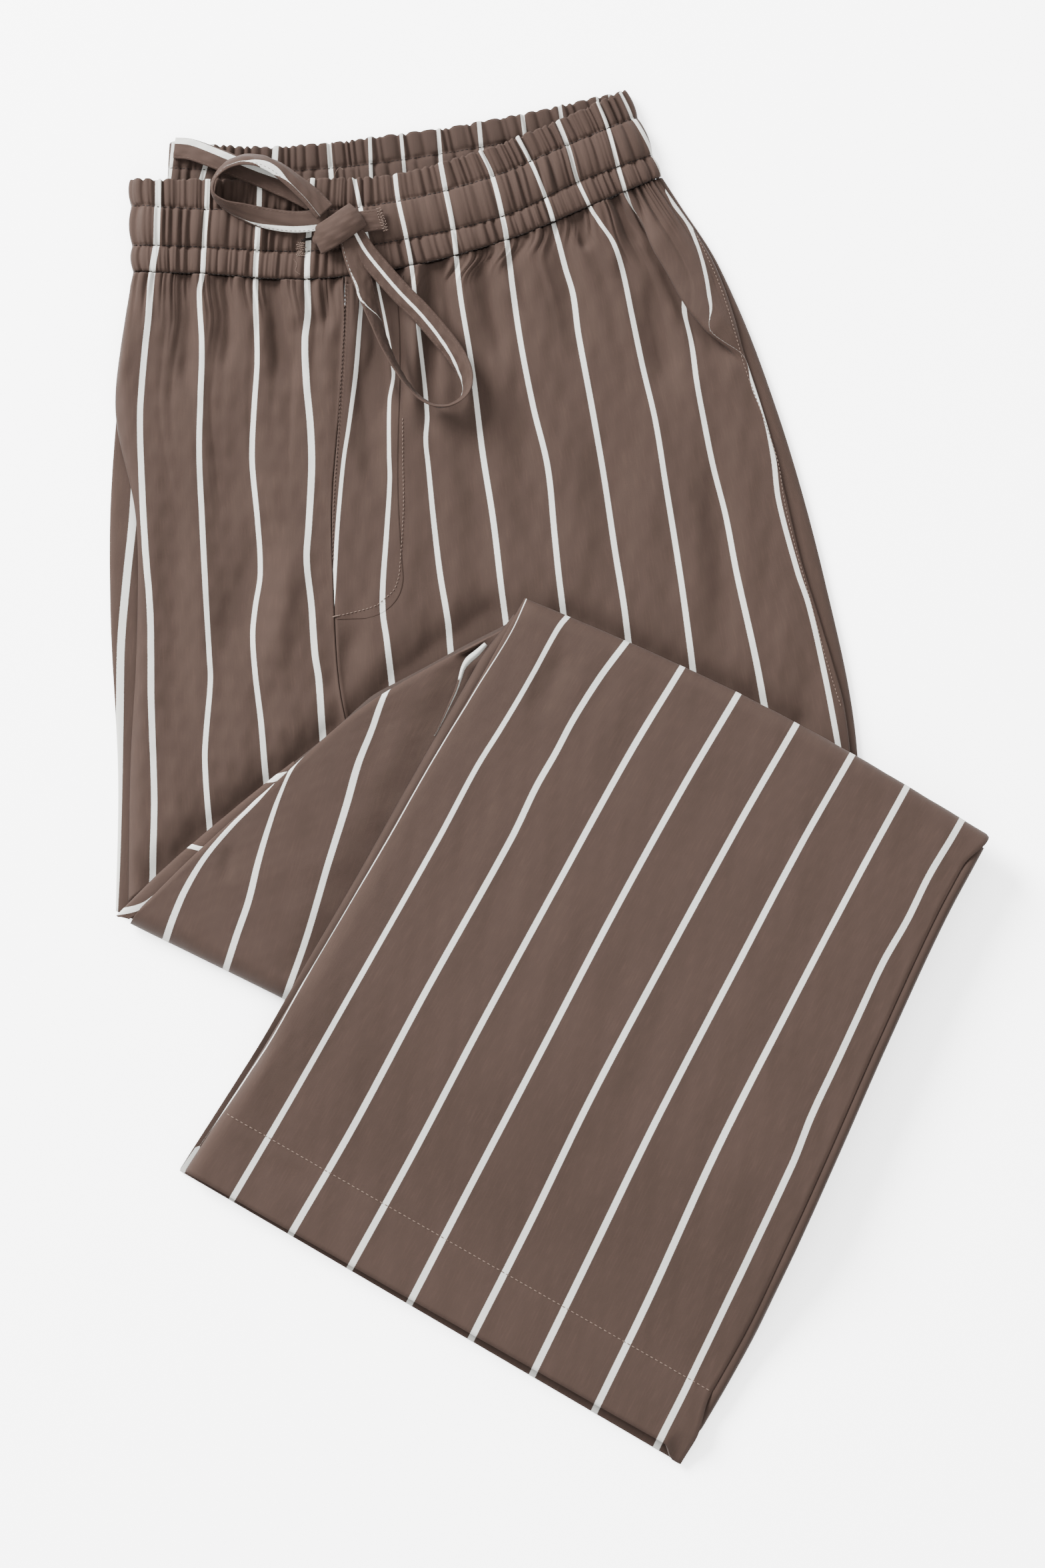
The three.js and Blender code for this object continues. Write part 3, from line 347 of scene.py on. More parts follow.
def addCloth(name, outer, inner, material, fabric, width=None):
    # closed shell: the outer grid, the inner grid turned over, and a rim that joins their borders
    rows, columns = outer.shape[:2]
    index = np.arange(rows * columns).reshape(rows, columns)
    under = index + rows * columns

    def quads(a, b, c, d):
        return np.stack([a.ravel(), b.ravel(), c.ravel(), d.ravel()], axis=1)

    faces = np.vstack([
        quads(index[:-1, :-1], index[1:, :-1], index[1:, 1:], index[:-1, 1:]),
        quads(under[:-1, :-1], under[:-1, 1:], under[1:, 1:], under[1:, :-1]),
        quads(index[:-1, 0], under[:-1, 0], under[1:, 0], index[1:, 0]),
        quads(index[:-1, -1], index[1:, -1], under[1:, -1], under[:-1, -1]),
        quads(index[0, :-1], index[0, 1:], under[0, 1:], under[0, :-1]),
        quads(index[-1, :-1], under[-1, :-1], under[-1, 1:], index[-1, 1:]),
    ])
    vertices = np.vstack([outer.reshape(-1, 3), inner.reshape(-1, 3)])
    both = np.vstack([fabric.reshape(-1, 2)] * 2)
    wide = np.ones(rows * columns) if width is None else np.ravel(width)
    return addPiece(name, vertices, faces, material, both, np.concatenate([wide, wide]))


surfaces = {}


def lieOn(name, x, y, lift=0.0):
    # points and normals of a made surface at places of the plan: mean of its four nearest grid points
    points = surfaces[name].reshape(-1, 3)
    normals = normalsOf(surfaces[name]).reshape(-1, 3)
    found = []
    ways = []
    for placeX, placeY in zip(np.ravel(x), np.ravel(y)):
        away = (points[:, 0] - placeX) ** 2 + (points[:, 1] - placeY) ** 2
        near = np.argpartition(away, 4)[:4]
        share = 1 / (away[near] + 1e-4)
        share /= share.sum()
        found.append([placeX, placeY, share @ points[near, 2]])
        ways.append(share @ normals[near])
    return np.array(found) + np.array(ways) * lift, np.array(ways)


def stitchLine(name, surface, pixels, material, size, lift=0.1):
    # stitches along a line through the photo's pixels, lying on a surface
    route = line(*pixels)
    count = max(8, int(np.linalg.norm(np.diff(route, axis=0), axis=1).sum() / 1.2))
    route = curveThrough(route, count)
    points, ways = lieOn(surface, route[:, 0], route[:, 1], lift)
    return addStitches(name, points, material, size, ways)


def shellOf(base, relief, thick):
    # outer and inner grids: the base moved out by the relief, and the same less the cloth's thickness
    normal = normalsOf(base)
    outer = base + normal * relief[..., None]
    thickness = np.broadcast_to(thick, relief.shape)
    return outer, outer - normal * thickness[..., None]


def addStitches(name, path, material, size, normals=None):
    # row of stitches: a small flattened bead for each, set along a path at even steps
    # each is a six-sided tube of three rings whose ends dip into the cloth
    path = np.array(path, float)
    length = np.concatenate([[0], np.cumsum(np.linalg.norm(np.diff(path, axis=0), axis=1))])
    count = max(1, int(length[-1] / size["pitch"]))
    centre = (np.arange(count) + 0.5) * length[-1] / count

    def at(values, where):
        return np.stack([np.interp(where, length, values[:, k]) for k in range(3)], axis=1)

    half = size["long"] / 2
    tangent = at(path, centre + half) - at(path, centre - half)
    tangent /= np.maximum(np.linalg.norm(tangent, axis=1, keepdims=True), 1e-9)
    up = np.tile([0.0, 0.0, 1.0], (count, 1)) if normals is None else at(np.array(normals), centre)
    side = np.cross(up, tangent)
    side /= np.maximum(np.linalg.norm(side, axis=1, keepdims=True), 1e-9)
    shares = np.array([-1, -0.55, 0.55, 1])
    swell = np.array([0.35, 1, 1, 0.35])
    dip = np.array([-1.0, 0, 0, -1.0])
    turns = np.arange(6) * np.pi / 3
    middle = at(path, centre)
    rings = []
    for k in range(4):
        ringCentre = middle + tangent * half * shares[k] + up * size["thick"] * dip[k] * 0.6
        for turn in turns:
            rings.append(ringCentre + side * np.cos(turn) * size["thick"] * swell[k] * 0.5
                         + up * np.sin(turn) * size["thick"] * swell[k] * 0.42)
    vertices = np.stack(rings, axis=1).reshape(-1, 3)
    faces = []
    for k in range(3):
        for s in range(6):
            faces.append([k * 6 + s, k * 6 + (s + 1) % 6, k * 6 + 6 + (s + 1) % 6, k * 6 + 6 + s])
    one = np.array(faces)
    ends = np.array([[5, 4, 3, 2], [5, 2, 1, 0], [18, 19, 20, 21], [18, 21, 22, 23]])
    one = np.vstack([one[:, ::-1], ends[:, ::-1]])
    everyFace = (one[None] + (np.arange(count) * 24)[:, None, None]).reshape(-1, 4)
    return addPiece(name, vertices, everyFace, material)


# Materials
def newGroup(name, inputs, outputs):
    group = bpy.data.node_groups.new(name, "ShaderNodeTree")
    for label, kind, value in inputs:
        socket = group.interface.new_socket(label, in_out="INPUT", socket_type=kind)
        if value is not None:
            socket.default_value = value
    for label, kind in outputs:
        group.interface.new_socket(label, in_out="OUTPUT", socket_type=kind)
    return group, group.nodes.new("NodeGroupInput"), group.nodes.new("NodeGroupOutput")


def mathNode(group, operation, first, second=None, third=None):
    node = group.nodes.new("ShaderNodeMath")
    node.operation = operation
    for i, value in enumerate((first, second, third)):
        if value is None:
            continue
        if isinstance(value, (int, float)):
            node.inputs[i].default_value = value
        else:
            group.links.new(value, node.inputs[i])
    return node.outputs[0]


def noiseNode(group, vector, scale, detail=3, roughness=0.55):
    node = group.nodes.new("ShaderNodeTexNoise")
    group.links.new(vector, node.inputs["Vector"])
    node.inputs["Scale"].default_value = scale
    node.inputs["Detail"].default_value = detail
    node.inputs["Roughness"].default_value = roughness
    return node.outputs["Fac"]


def scaledNode(group, vector, scale):
    node = group.nodes.new("ShaderNodeVectorMath")
    node.operation = "MULTIPLY"
    group.links.new(vector, node.inputs[0])
    node.inputs[1].default_value = scale
    return node.outputs[0]


def mixNode(group, amount, first, second):
    node = group.nodes.new("ShaderNodeMix")
    node.data_type = "RGBA"
    for socket, value in ((node.inputs[0], amount), (node.inputs[6], first), (node.inputs[7], second)):
        if isinstance(value, (int, float, tuple)):
            socket.default_value = value
        else:
            group.links.new(value, socket)
    return node.outputs[2]


def makeWeaveGroup():
    # fine threads both ways, slubs that run along the cloth, and a broad unevenness of the dye
    group, start, end = newGroup(
        "weave",
        [("Cloth", "NodeSocketVector", None), ("Thread", "NodeSocketFloat", 0.00042)],
        [("Height", "NodeSocketFloat"), ("Slub", "NodeSocketFloat"), ("Dye", "NodeSocketFloat")],
    )
    cloth = start.outputs["Cloth"]
    parts = group.nodes.new("ShaderNodeSeparateXYZ")
    group.links.new(cloth, parts.inputs[0])
    turn = mathNode(group, "DIVIDE", 2 * np.pi, start.outputs["Thread"])
    ragged = noiseNode(group, scaledNode(group, cloth, (900, 900, 1)), 1.0, 2)
    warp = mathNode(group, "SINE", mathNode(group, "MULTIPLY", parts.outputs[0], turn))
    weft = mathNode(group, "SINE", mathNode(group, "MULTIPLY", parts.outputs[1], turn))
    threads = mathNode(group, "MULTIPLY", warp, weft)
    group.links.new(mathNode(group, "MULTIPLY_ADD", ragged, 1.4, threads), end.inputs["Height"])
    group.links.new(noiseNode(group, scaledNode(group, cloth, (1100, 75, 1)), 1.0, 3), end.inputs["Slub"])
    group.links.new(noiseNode(group, scaledNode(group, cloth, (42, 20, 1)), 1.0, 4), end.inputs["Dye"])
    return group


def makeStripeGroup():
    # 1 on a stripe and 0 between: distance to the nearest whole number of pitches, against half the width
    group, start, end = newGroup(
        "stripes",
        [("Cloth", "NodeSocketVector", None), ("Pitch", "NodeSocketFloat", 0.038),
         ("Width", "NodeSocketFloat", 0.0037), ("Share", "NodeSocketFloat", 1.0)],
        [("Mask", "NodeSocketFloat")],
    )
    parts = group.nodes.new("ShaderNodeSeparateXYZ")
    group.links.new(start.outputs["Cloth"], parts.inputs[0])
    pitches = mathNode(group, "DIVIDE", parts.outputs[0], start.outputs["Pitch"])
    nearest = mathNode(group, "ROUND", pitches)
    away = mathNode(group, "ABSOLUTE", mathNode(group, "SUBTRACT", pitches, nearest))
    metres = mathNode(group, "MULTIPLY", away, start.outputs["Pitch"])
    fuzz = noiseNode(group, scaledNode(group, start.outputs["Cloth"], (1500, 1500, 1)), 1.0, 2)
    fuzzed = mathNode(group, "MULTIPLY_ADD", mathNode(group, "SUBTRACT", fuzz, 0.5), 0.0004, metres)
    half = mathNode(group, "MULTIPLY", mathNode(group, "MULTIPLY", start.outputs["Width"], 0.5),
                    start.outputs["Share"])
    inside = mathNode(group, "SUBTRACT", half, fuzzed)
    group.links.new(mathNode(group, "MULTIPLY_ADD", inside, 5000, 0.5), end.inputs["Mask"])
    return group


weaveGroup = makeWeaveGroup()
stripeGroup = makeStripeGroup()

clothColours = {
    "brown": (0.0268, 0.0170, 0.0134, 1),
    "deep": (0.0211, 0.0133, 0.0104, 1),
    "stripe": (0.290, 0.287, 0.269, 1),
    "slub": (0.040, 0.025, 0.0195, 1),
}


def makeCloth(name, brightness=1.0, stripes=True, pitch=0.038, width=0.0037):
    material = bpy.data.materials.new(name)
    material.use_nodes = True
    tree = material.node_tree
    shader = tree.nodes["Principled BSDF"]
    uv = tree.nodes.new("ShaderNodeUVMap")
    uv.uv_map = "cloth"
    weave = tree.nodes.new("ShaderNodeGroup")
    weave.node_tree = weaveGroup
    tree.links.new(uv.outputs[0], weave.inputs["Cloth"])

    def toned(colour):
        return tuple(c * brightness for c in colour[:3]) + (1,)

    dyed = mixNode(tree, weave.outputs["Dye"], toned(clothColours["deep"]), toned(clothColours["brown"]))
    slubbed = mathNode(tree, "MULTIPLY", mathNode(tree, "SUBTRACT", weave.outputs["Slub"], 0.5), 1.1)
    brown = mixNode(tree, mathNode(tree, "MAXIMUM", slubbed, 0.0), dyed, toned(clothColours["slub"]))
    colour = brown
    if stripes:
        stripe = tree.nodes.new("ShaderNodeGroup")
        stripe.node_tree = stripeGroup
        stripe.inputs["Pitch"].default_value = pitch
        stripe.inputs["Width"].default_value = width
        tree.links.new(uv.outputs[0], stripe.inputs["Cloth"])
        share = tree.nodes.new("ShaderNodeAttribute")
        share.attribute_name = "stripeWidth"
        tree.links.new(share.outputs["Fac"], stripe.inputs["Share"])
        mask = mathNode(tree, "MINIMUM", mathNode(tree, "MAXIMUM", stripe.outputs["Mask"], 0.0), 1.0)
        colour = mixNode(tree, mask, brown, toned(clothColours["stripe"]))
    tree.links.new(colour, shader.inputs["Base Color"])
    rough = mathNode(tree, "MULTIPLY_ADD", weave.outputs["Slub"], 0.16, 0.56)
    tree.links.new(rough, shader.inputs["Roughness"])
    shader.inputs["Specular IOR Level"].default_value = 0.05
    shader.inputs["Sheen Weight"].default_value = 0.015
    shader.inputs["Sheen Roughness"].default_value = 0.45
    bump = tree.nodes.new("ShaderNodeBump")
    bump.inputs["Strength"].default_value = 0.5
    bump.inputs["Distance"].default_value = 0.00012
    tree.links.new(weave.outputs["Height"], bump.inputs["Height"])
    tree.links.new(bump.outputs[0], shader.inputs["Normal"])
    return material


def makeThread(name, colour):
    material = bpy.data.materials.new(name)
    material.use_nodes = True
    tree = material.node_tree
    shader = tree.nodes["Principled BSDF"]
    place = tree.nodes.new("ShaderNodeTexCoord")
    fibres = noiseNode(tree, place.outputs["Object"], 2600, 2)
    dark = tuple(c * 0.7 for c in colour) + (1,)
    tree.links.new(mixNode(tree, fibres, dark, tuple(colour) + (1,)), shader.inputs["Base Color"])
    tree.links.new(mathNode(tree, "MULTIPLY_ADD", fibres, 0.2, 0.7), shader.inputs["Roughness"])
    shader.inputs["Specular IOR Level"].default_value = 0.1
    return material


cloth = makeCloth("cloth")
# the cloth's inner face, 14% darker: partly its duller reverse and partly painted shade, for layers that lie
# beneath another
clothInsideShaded = makeCloth("clothInsideShaded", 0.86)
# the hidden layers' cloth, plain and 20% darker: painted shade on their edges beneath the layers over them
clothHiddenShaded = makeCloth("clothHiddenShaded", 0.8, stripes=False)
darkThread = makeThread("darkThread", (0.010, 0.007, 0.006))
brownThread = makeThread("brownThread", (0.040, 0.026, 0.021))
tanThread = makeThread("tanThread", (0.078, 0.055, 0.044))
print("materials made")

# Waistband
band = {
    "wall": 2.0,
    "level": 8.8,
    "top": {"count": 60, "rise": 2.3, "puff": 1.2},
    "middle": {"count": 42, "rise": 2.7, "puff": 2.9},
    "low": {"count": 66, "rise": 2.1, "puff": 1.6},
    "rowOne": 0.28,
    "rowTwo": 0.72,
    "scallop": 1.2,
    "columns": 560,
    "rows": 57,
}
frontBand = {
    "at": [0, 0.15, 0.34, 0.5, 0.65, 0.83, 1],
    "topX": [-226.8, -183.6, -126.7, -82.8, -36.7, 5, 42.5],
    "topY": [325.1, 324.7, 325.1, 327.6, 340.2, 356.4, 374],
    "oneX": [-225.9, -184.3, -128.2, -81, -31, 10.8, 48.6],
    "oneY": [311.4, 308.9, 308.2, 313.2, 326.2, 343.8, 359.3],
    "twoX": [-225.4, -185.8, -129.2, -77, -24.8, 16.6, 56.9],
    "twoY": [289.4, 288, 285.8, 292.3, 304.6, 323.3, 338.4],
    "seamX": [-224.6, -186.5, -130.3, -73.8, -21.2, 21.6, 61.6],
    "seamY": [275, 274, 271.1, 278.3, 292.7, 310.3, 326.9],
}
backBand = {
    "at": [0, 0.25, 0.5, 0.75, 1],
    "topX": [-205.5, -150, -94.3, -25, 41.5],
    "topY": [346, 343.4, 348.5, 359, 373.6],
    "seamX": [-208, -150, -88, -12, 57],
    "seamY": [297, 296.2, 299.5, 313, 325.6],
}


def bandPlace(u, v):
    # point of the front waistband's plan: a smooth curve down through its edge, stitch rows and seam
    u, v = np.broadcast_arrays(np.asarray(u, float), np.asarray(v, float))
    rows = np.array([0, band["rowOne"], band["rowTwo"], 1.0])
    places = []
    for axis in "XY":
        values = np.stack([read(frontBand, line + axis, u) for line in ("top", "one", "two", "seam")])
        slopes = []
        for k in range(4):
            low = max(k - 1, 0)
            high = min(k + 1, 3)
            slopes.append((values[high] - values[low]) / (rows[high] - rows[low]))
        place = values[0]
        for k in range(3):
            span = rows[k + 1] - rows[k]
            t = clamp((v - rows[k]) / span)
            curve = cubic(t, span, values[k], values[k + 1], slopes[k], slopes[k + 1])
            place = np.where(v > rows[k], curve, place)
        places.append(place)
    return places[0], places[1]


def domeHeight(level, fromRight, fromLeft, edge=2.9):
    return mix(edge, level, shoulder(np.minimum(fromRight, fromLeft), 13))


def casing(v, low, high):
    # share of the way down one casing of the waistband, and 1 inside it
    inside = smooth((v - low) / 0.03 + 0.5) * smooth((high - v) / 0.03 + 0.5)
    return clamp((v - low) / (high - low)), inside


def bandRelief(u, v, drift):
    # each casing swells between its rows of stitching and carries gathers of its own
    one, two = band["rowOne"], band["rowTwo"]
    total = np.zeros(np.shape(u))
    for key, low, high, seed in (("top", -0.1, one, 11), ("middle", one, two, 12), ("low", two, 1.0, 13)):
        size = band[key]
        share, inside = casing(v, low, high)
        swell = np.sin(np.pi * share) ** 0.6
        uneven = 0.75 + 0.35 * wander(u * 60, v * 4, 5, seed + 40)
        ridges = gathers(u + drift, size["count"], seed) * uneven
        finer = gathers(u - drift, int(size["count"] * 1.7), seed + 20) * (1.1 - 0.7 * swell)
        total += inside * (size["puff"] * swell + size["rise"] * (ridges + 0.4 * finer))
    for row in (one, two, 1.0):
        total -= 0.7 * np.exp(-(((v - row) / 0.014) ** 2))
    return total


def makeWaistbandFront():
    u, v = grid(np.linspace(0, 1, band["columns"]), np.linspace(0, 1, band["rows"]))
    drift = 0.0022 * wander(u * 60, v * 3, 9, 5)
    x, y = bandPlace(u, v)
    startX, _ = bandPlace(np.zeros_like(v), v)
    endX, _ = bandPlace(np.ones_like(v), v)
    z = domeHeight(band["level"], x - startX, endX - x)
    base = np.stack([x, y, z], axis=-1)
    calm = shoulder(np.minimum(u, 1 - u), 0.03)
    relief = calm * bandRelief(u, v, drift)
    bulge = sum(np.sin(np.pi * clamp((v - low) / (high - low))) ** 0.7
                for low, high in ((0, band["rowOne"]), (band["rowOne"], band["rowTwo"]), (band["rowTwo"], 1)))
    base[..., 0] += band["scallop"] * bulge * (smooth(1 - (1 - u) / 0.05) - smooth(1 - u / 0.05))
    base[..., 1] += 1.1 * gathers(u, band["top"]["count"], 11) * np.exp(-((v / 0.1) ** 2)) * calm
    fabric = fabricOf(base, chartWithout(frontStripes, "s5"))
    outer, inner = shellOf(base, relief, band["wall"])
    surfaces["band_front"] = outer
    piece = addCloth("band_front", outer, inner, cloth, fabric)
    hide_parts("waistband_front")
    for label, row in (("One", band["rowOne"]), ("Two", band["rowTwo"]), ("Three", 1.0)):
        i = int(round(row * (band["rows"] - 1)))
        line = outer[i].copy() + [0, 0, 0.12]
        addStitches("waist_stitches_" + label.lower(), line[2:-2], darkThread,
                    {"pitch": 2.9, "long": 2.3, "thick": 0.8})


backStripes = {
    "b0": {"x": [262, 255], "y": [200, 262]},
    "b1": {"x": [320, 303], "y": [205, 262]},
    "b2": {"x": [415, 410], "y": [210, 270]},
    "b3": {"x": [493, 498], "y": [205, 270]},
    "b4": {"x": [555, 557], "y": [200, 262]},
    "b5": {"x": [601, 606], "y": [195, 250]},
    "b6": {"x": [657, 661], "y": [188, 240]},
    "b7": {"x": [718, 722], "y": [178, 222]},
    "b8": {"x": [783, 789], "y": [165, 212]},
    "b9": {"x": [839, 846], "y": [155, 200]},
    "b10": {"x": [897, 904], "y": [145, 190]},
    "b11": {"x": [912, 922], "y": [138, 180]},
    "b12": {"x": [985, 995], "y": [138, 180]},
}


def makeWaistbandBack():
    rows = 40
    u, v = grid(np.linspace(0, 1, 420), np.linspace(0, 1, rows))
    x = mix(read(backBand, "topX", u), read(backBand, "seamX", u), v)
    y = mix(read(backBand, "topY", u), read(backBand, "seamY", u), v)
    drift = 0.003 * wander(u * 60, v * 3, 9, 6)
    one, two = band["rowOne"], band["rowTwo"]
    share, inside = casing(v, -0.08, one)
    upper = inside * (0.9 * np.sin(np.pi * share) ** 0.6 + 1.7 * gathers(u + drift, 46, 41))
    share, inside = casing(v, one, two)
    lower = inside * (1.2 * np.sin(np.pi * share) + 1.8 * gathers(u + drift, 40, 42))
    relief = upper + lower - 0.6 * np.exp(-(((v - one) / 0.02) ** 2))
    calm = shoulder(np.minimum(u, 1 - u), 0.03)
    z = np.maximum(0.3, (2.9 + relief * (1 - 0.6 * smooth((v - 0.5) / 0.3))) * mix(0.35, 1, calm))
    y = y + 1.0 * gathers(u, 46, 41) * np.exp(-((v / 0.1) ** 2))
    outer = np.stack([x, y, z], axis=-1)
    inner = np.stack([x, y, np.zeros_like(z)], axis=-1)
    # its inside face in the darker cloth: duller reverse and painted shade under the front band's edge
    piece = addCloth("band_back", outer, inner, clothInsideShaded, fabricOf(outer, backStripes))
    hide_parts("waistband_back")
    i = int(round(one * (rows - 1)))
    addStitches("waist_stitches_back", outer[i][2:-2] + [0, 0, 0.12], darkThread,
                {"pitch": 2.5, "long": 1.9, "thick": 0.5})


makeWaistbandFront()
makeWaistbandBack()
print("waistband made")

# Upper panels
panel = {
    "wall": 1.2,
    "level": 8.0,
    "flyAt": 0.4,
    "sideSeamAt": 0.993,
    "sideSeamLevel": 7.6,
    "sideSeamDrop": 3.2,
    "sideSeamFull": 7,
    "seamGap": 0.3,
}
rightFront = {
    "at": [0, 0.08, 0.24, 0.42, 0.6, 0.8, 1],
    "sideX": [-224.6, -229, -234.6, -223.5, -223, -226.5, -227.5],
    "sideY": [274.6, 252, 200, 142, 76, 6, -66],
    "midX": [-109.2, -109.9, -112.6, -117, -116, -113.5, -107],
    "midY": [271.6, 250, 205, 150, 100, 55, 20],
}
leftFront = {
    "at": [0, 0.1, 0.24, 0.42, 0.6, 0.8, 1],
    "midX": [-108.8, -109.6, -112.3, -116.6, -115.6, -113.1, -106.6],
    "midY": [271.6, 250, 205, 150, 100, 55, 20],
    "sideAt": [0, 0.07, 0.21, 0.38, 0.53, 0.65, 0.77],
}
rightBack = {
    "at": [0, 0.15, 0.4, 0.6, 0.8, 1],
    "sideX": [-221, -228, -237, -237.5, -233.4, -234.6],
    "sideY": [295.4, 258, 160, 88, 4, -71],
    "midX": [-110.2, -110.7, -115, -114, -108, -104],
    "midY": [293.7, 250, 160, 70, -30, -133],
}
leftBack = {
    "at": [0, 0.12, 0.36, 0.55, 0.72, 1],
    "midX": [-109.8, -110.2, -114.5, -113.5, -107.5, -103.6],
    "midY": [293.7, 250, 160, 70, -30, -133],
    "sideX": [63.5, 93, 125.3, 150.5, 168, 171],
    "sideY": [324, 279, 198, 108, 16, -150],
}
sideTurn = {
    "reach": 8.4,
    "lap": 1.2,
    "topLeft": 1.2,
    "topUp": 2.8,
    "belowSeam": 1.25,
    "at": [0, 0.03, 0.05, 0.07, 0.1, 0.12, 0.18],
    "inward": [1.15, 0.55, 0.2, 0, 0.25, 0.75, 3.6],
    "height": [1, 0.9, 0.72, 0.42, 0.1, 0, 0],
}


def panelPlace(table, u, v):
    return (mix(read(table, "sideX", v), read(table, "midX", v), u),
            mix(read(table, "sideY", v), read(table, "midY", v), u))


sideInset = {
    "at": [0, 0.12, 0.2, 0.26, 0.36, 0.45, 0.52, 0.58, 0.63, 0.68, 1],
    "mm": [1.8, 2.2, 4.5, 7, 8, 9.5, 10.5, 8.5, 6.5, 4.5, 4],
}


def fromLeftSide(inward, v):
    sideX, sideY = panelPlace(leftBack, 0, v)
    centreX, centreY = panelPlace(leftBack, 1, v)
    reach = np.hypot(sideX - centreX, sideY - centreY)
    share = inward / reach
    return mix(sideX, centreX, share), mix(sideY, centreY, share), reach


def leftFrontPlace(u, v):
    sideAt = read(leftFront, "sideAt", v)
    sideX, sideY, _ = fromLeftSide(read(sideInset, "mm", sideAt), sideAt)
    return mix(read(leftFront, "midX", v), sideX, u), mix(read(leftFront, "midY", v), sideY, u)


def sewnToBand(place, top, bandU, v):
    # a panel's place, drawn to the waistband's seam along its top edge
    seamX, seamY = bandPlace(bandU, np.ones_like(bandU))
    near = 1 - smooth(v / 0.1)
    return place[0] + (seamX - top[0]) * near, place[1] + (seamY - top[1] - panel["seamGap"] - 0.1) * near


def seamHeight(inset):
    # the seam lies lower where it comes near the outline
    return panel["sideSeamLevel"] - panel["sideSeamDrop"] * (1 - smooth(inset / panel["sideSeamFull"]))


def leftFrontBase(u, v):
    bandU = mix(panel["flyAt"], panel["sideSeamAt"], u)
    x, y = sewnToBand(leftFrontPlace(u, v), leftFrontPlace(u, 0 * v), bandU, v)
    level = mix(band["level"], panel["level"], smooth(v / 0.3))
    one = np.ones_like(u)
    edgeX, _ = sewnToBand(leftFrontPlace(one, v), leftFrontPlace(one, 0 * v), one * panel["sideSeamAt"], v)
    fromSide = edgeX - x
    pastSeam = bandPlace(1, 1)[0] - bandPlace(panel["sideSeamAt"], 1)[0]
    rounded = domeHeight(level, 100, fromSide + pastSeam)
    seam = seamHeight(read(sideInset, "mm", read(leftFront, "sideAt", v)))
    sewn = mix(seam, level, shoulder(fromSide, 12))
    return np.stack([x, y, mix(rounded, sewn, smooth(v / 0.1))], axis=-1)


def line(*pixels):
    # line on the plan through pixels of the photo
    return np.stack(spot([p[0] for p in pixels], [p[1] for p in pixels]), axis=1)


# Folds of the fronts: rise before frontScale raises it, and widths in millimetres on each side of the line
frontFolds = [
    {"line": line((203, 412), (190, 470), (178, 600)), "rise": 0.9, "left": 4, "right": 3, "from": False},
    {"line": line((276, 412), (281, 470), (276, 600)), "rise": -1.1, "left": 5, "right": 5, "from": False},
    {"line": line((330, 412), (338, 460), (345, 560)), "rise": -1.0, "left": 4, "right": 5, "from": False},
    {"line": line((402, 414), (416, 470), (440, 590)), "rise": -1.7, "left": 5, "right": 8, "from": False},
    {"line": line((430, 412), (440, 450), (449, 500)), "rise": 1.0, "left": 4, "right": 4, "from": False},
    {"line": line((499, 416), (493, 445), (486, 500)), "rise": -1.1, "left": 4, "right": 4, "from": False},
    {"line": line((560, 410), (566, 520), (572, 660)), "rise": -1.6, "left": 7, "right": 6, "from": False},
    {"line": line((590, 404), (600, 500), (606, 640)), "rise": -1.9, "left": 4, "right": 5, "from": False},
    {"line": line((622, 400), (622, 480), (624, 580)), "rise": 1.0, "left": 4, "right": 4, "from": False},
    {"line": line((650, 396), (644, 500), (640, 680)), "rise": -1.8, "left": 5, "right": 5, "from": False},
    {"line": line((656, 392), (668, 440), (676, 520)), "rise": -1.0, "left": 4, "right": 4, "from": False},
    {"line": line((722, 368), (736, 440), (756, 560)), "rise": -1.4, "left": 6, "right": 5, "from": False},
    {"line": line((744, 362), (758, 410), (775, 470)), "rise": 0.9, "left": 4, "right": 4, "from": False},
    {"line": line((866, 322), (872, 345), (882, 376)), "rise": -1.6, "left": 3, "right": 3, "from": False},
    {"line": line((826, 332), (850, 420), (880, 560)), "rise": -0.9, "left": 6, "right": 6, "from": False},
    {"line": line((918, 290), (936, 320), (962, 370)), "rise": -1.2, "left": 3, "right": 4, "from": False},
    {"line": line((966, 400), (985, 480), (1010, 600)), "rise": -1.3, "left": 7, "right": 6},
    {"line": line((902, 296), (916, 350), (930, 420)), "rise": 0.9, "left": 5, "right": 5, "from": False},
    {"line": line((268, 640), (262, 900), (272, 1200)), "rise": -0.9, "left": 12, "right": 10},
    {"line": line((345, 560), (352, 800), (356, 1080)), "rise": -1.1, "left": 12, "right": 12},
    {"line": line((330, 1010), (364, 900), (410, 740)), "rise": -0.9, "left": 9, "right": 12},
    {"line": line((392, 1060), (420, 930), (452, 780)), "rise": 1.0, "left": 9, "right": 8},
    {"line": line((545, 500), (552, 600), (560, 760)), "rise": -1.3, "left": 8, "right": 7},
    {"line": line((690, 560), (704, 700), (712, 860)), "rise": -0.8, "left": 11, "right": 12},
    {"line": line((760, 560), (790, 720), (810, 880)), "rise": -0.7, "left": 12, "right": 12},
    {"line": line((880, 560), (920, 760), (950, 940)), "rise": -0.8, "left": 13, "right": 12},
    {"line": line((1050, 640), (1080, 800), (1112, 1000)), "rise": -0.9, "left": 12, "right": 10},
    {"line": line((500, 1060), (520, 980), (548, 930)), "rise": -0.8, "left": 8, "right": 8},
    {"line": line((200, 1352), (261, 1300), (355, 1224), (508, 1104), (624, 1008), (723, 938), (790, 906)),
     "rise": -1.8, "left": 12, "right": 20, "fade": 0.08},
    {"line": line((812, 910), (880, 940), (1000, 998), (1110, 1048), (1230, 1112)), "rise": -1.3, "left": 9,
     "right": 20, "fade": 0.1},
]
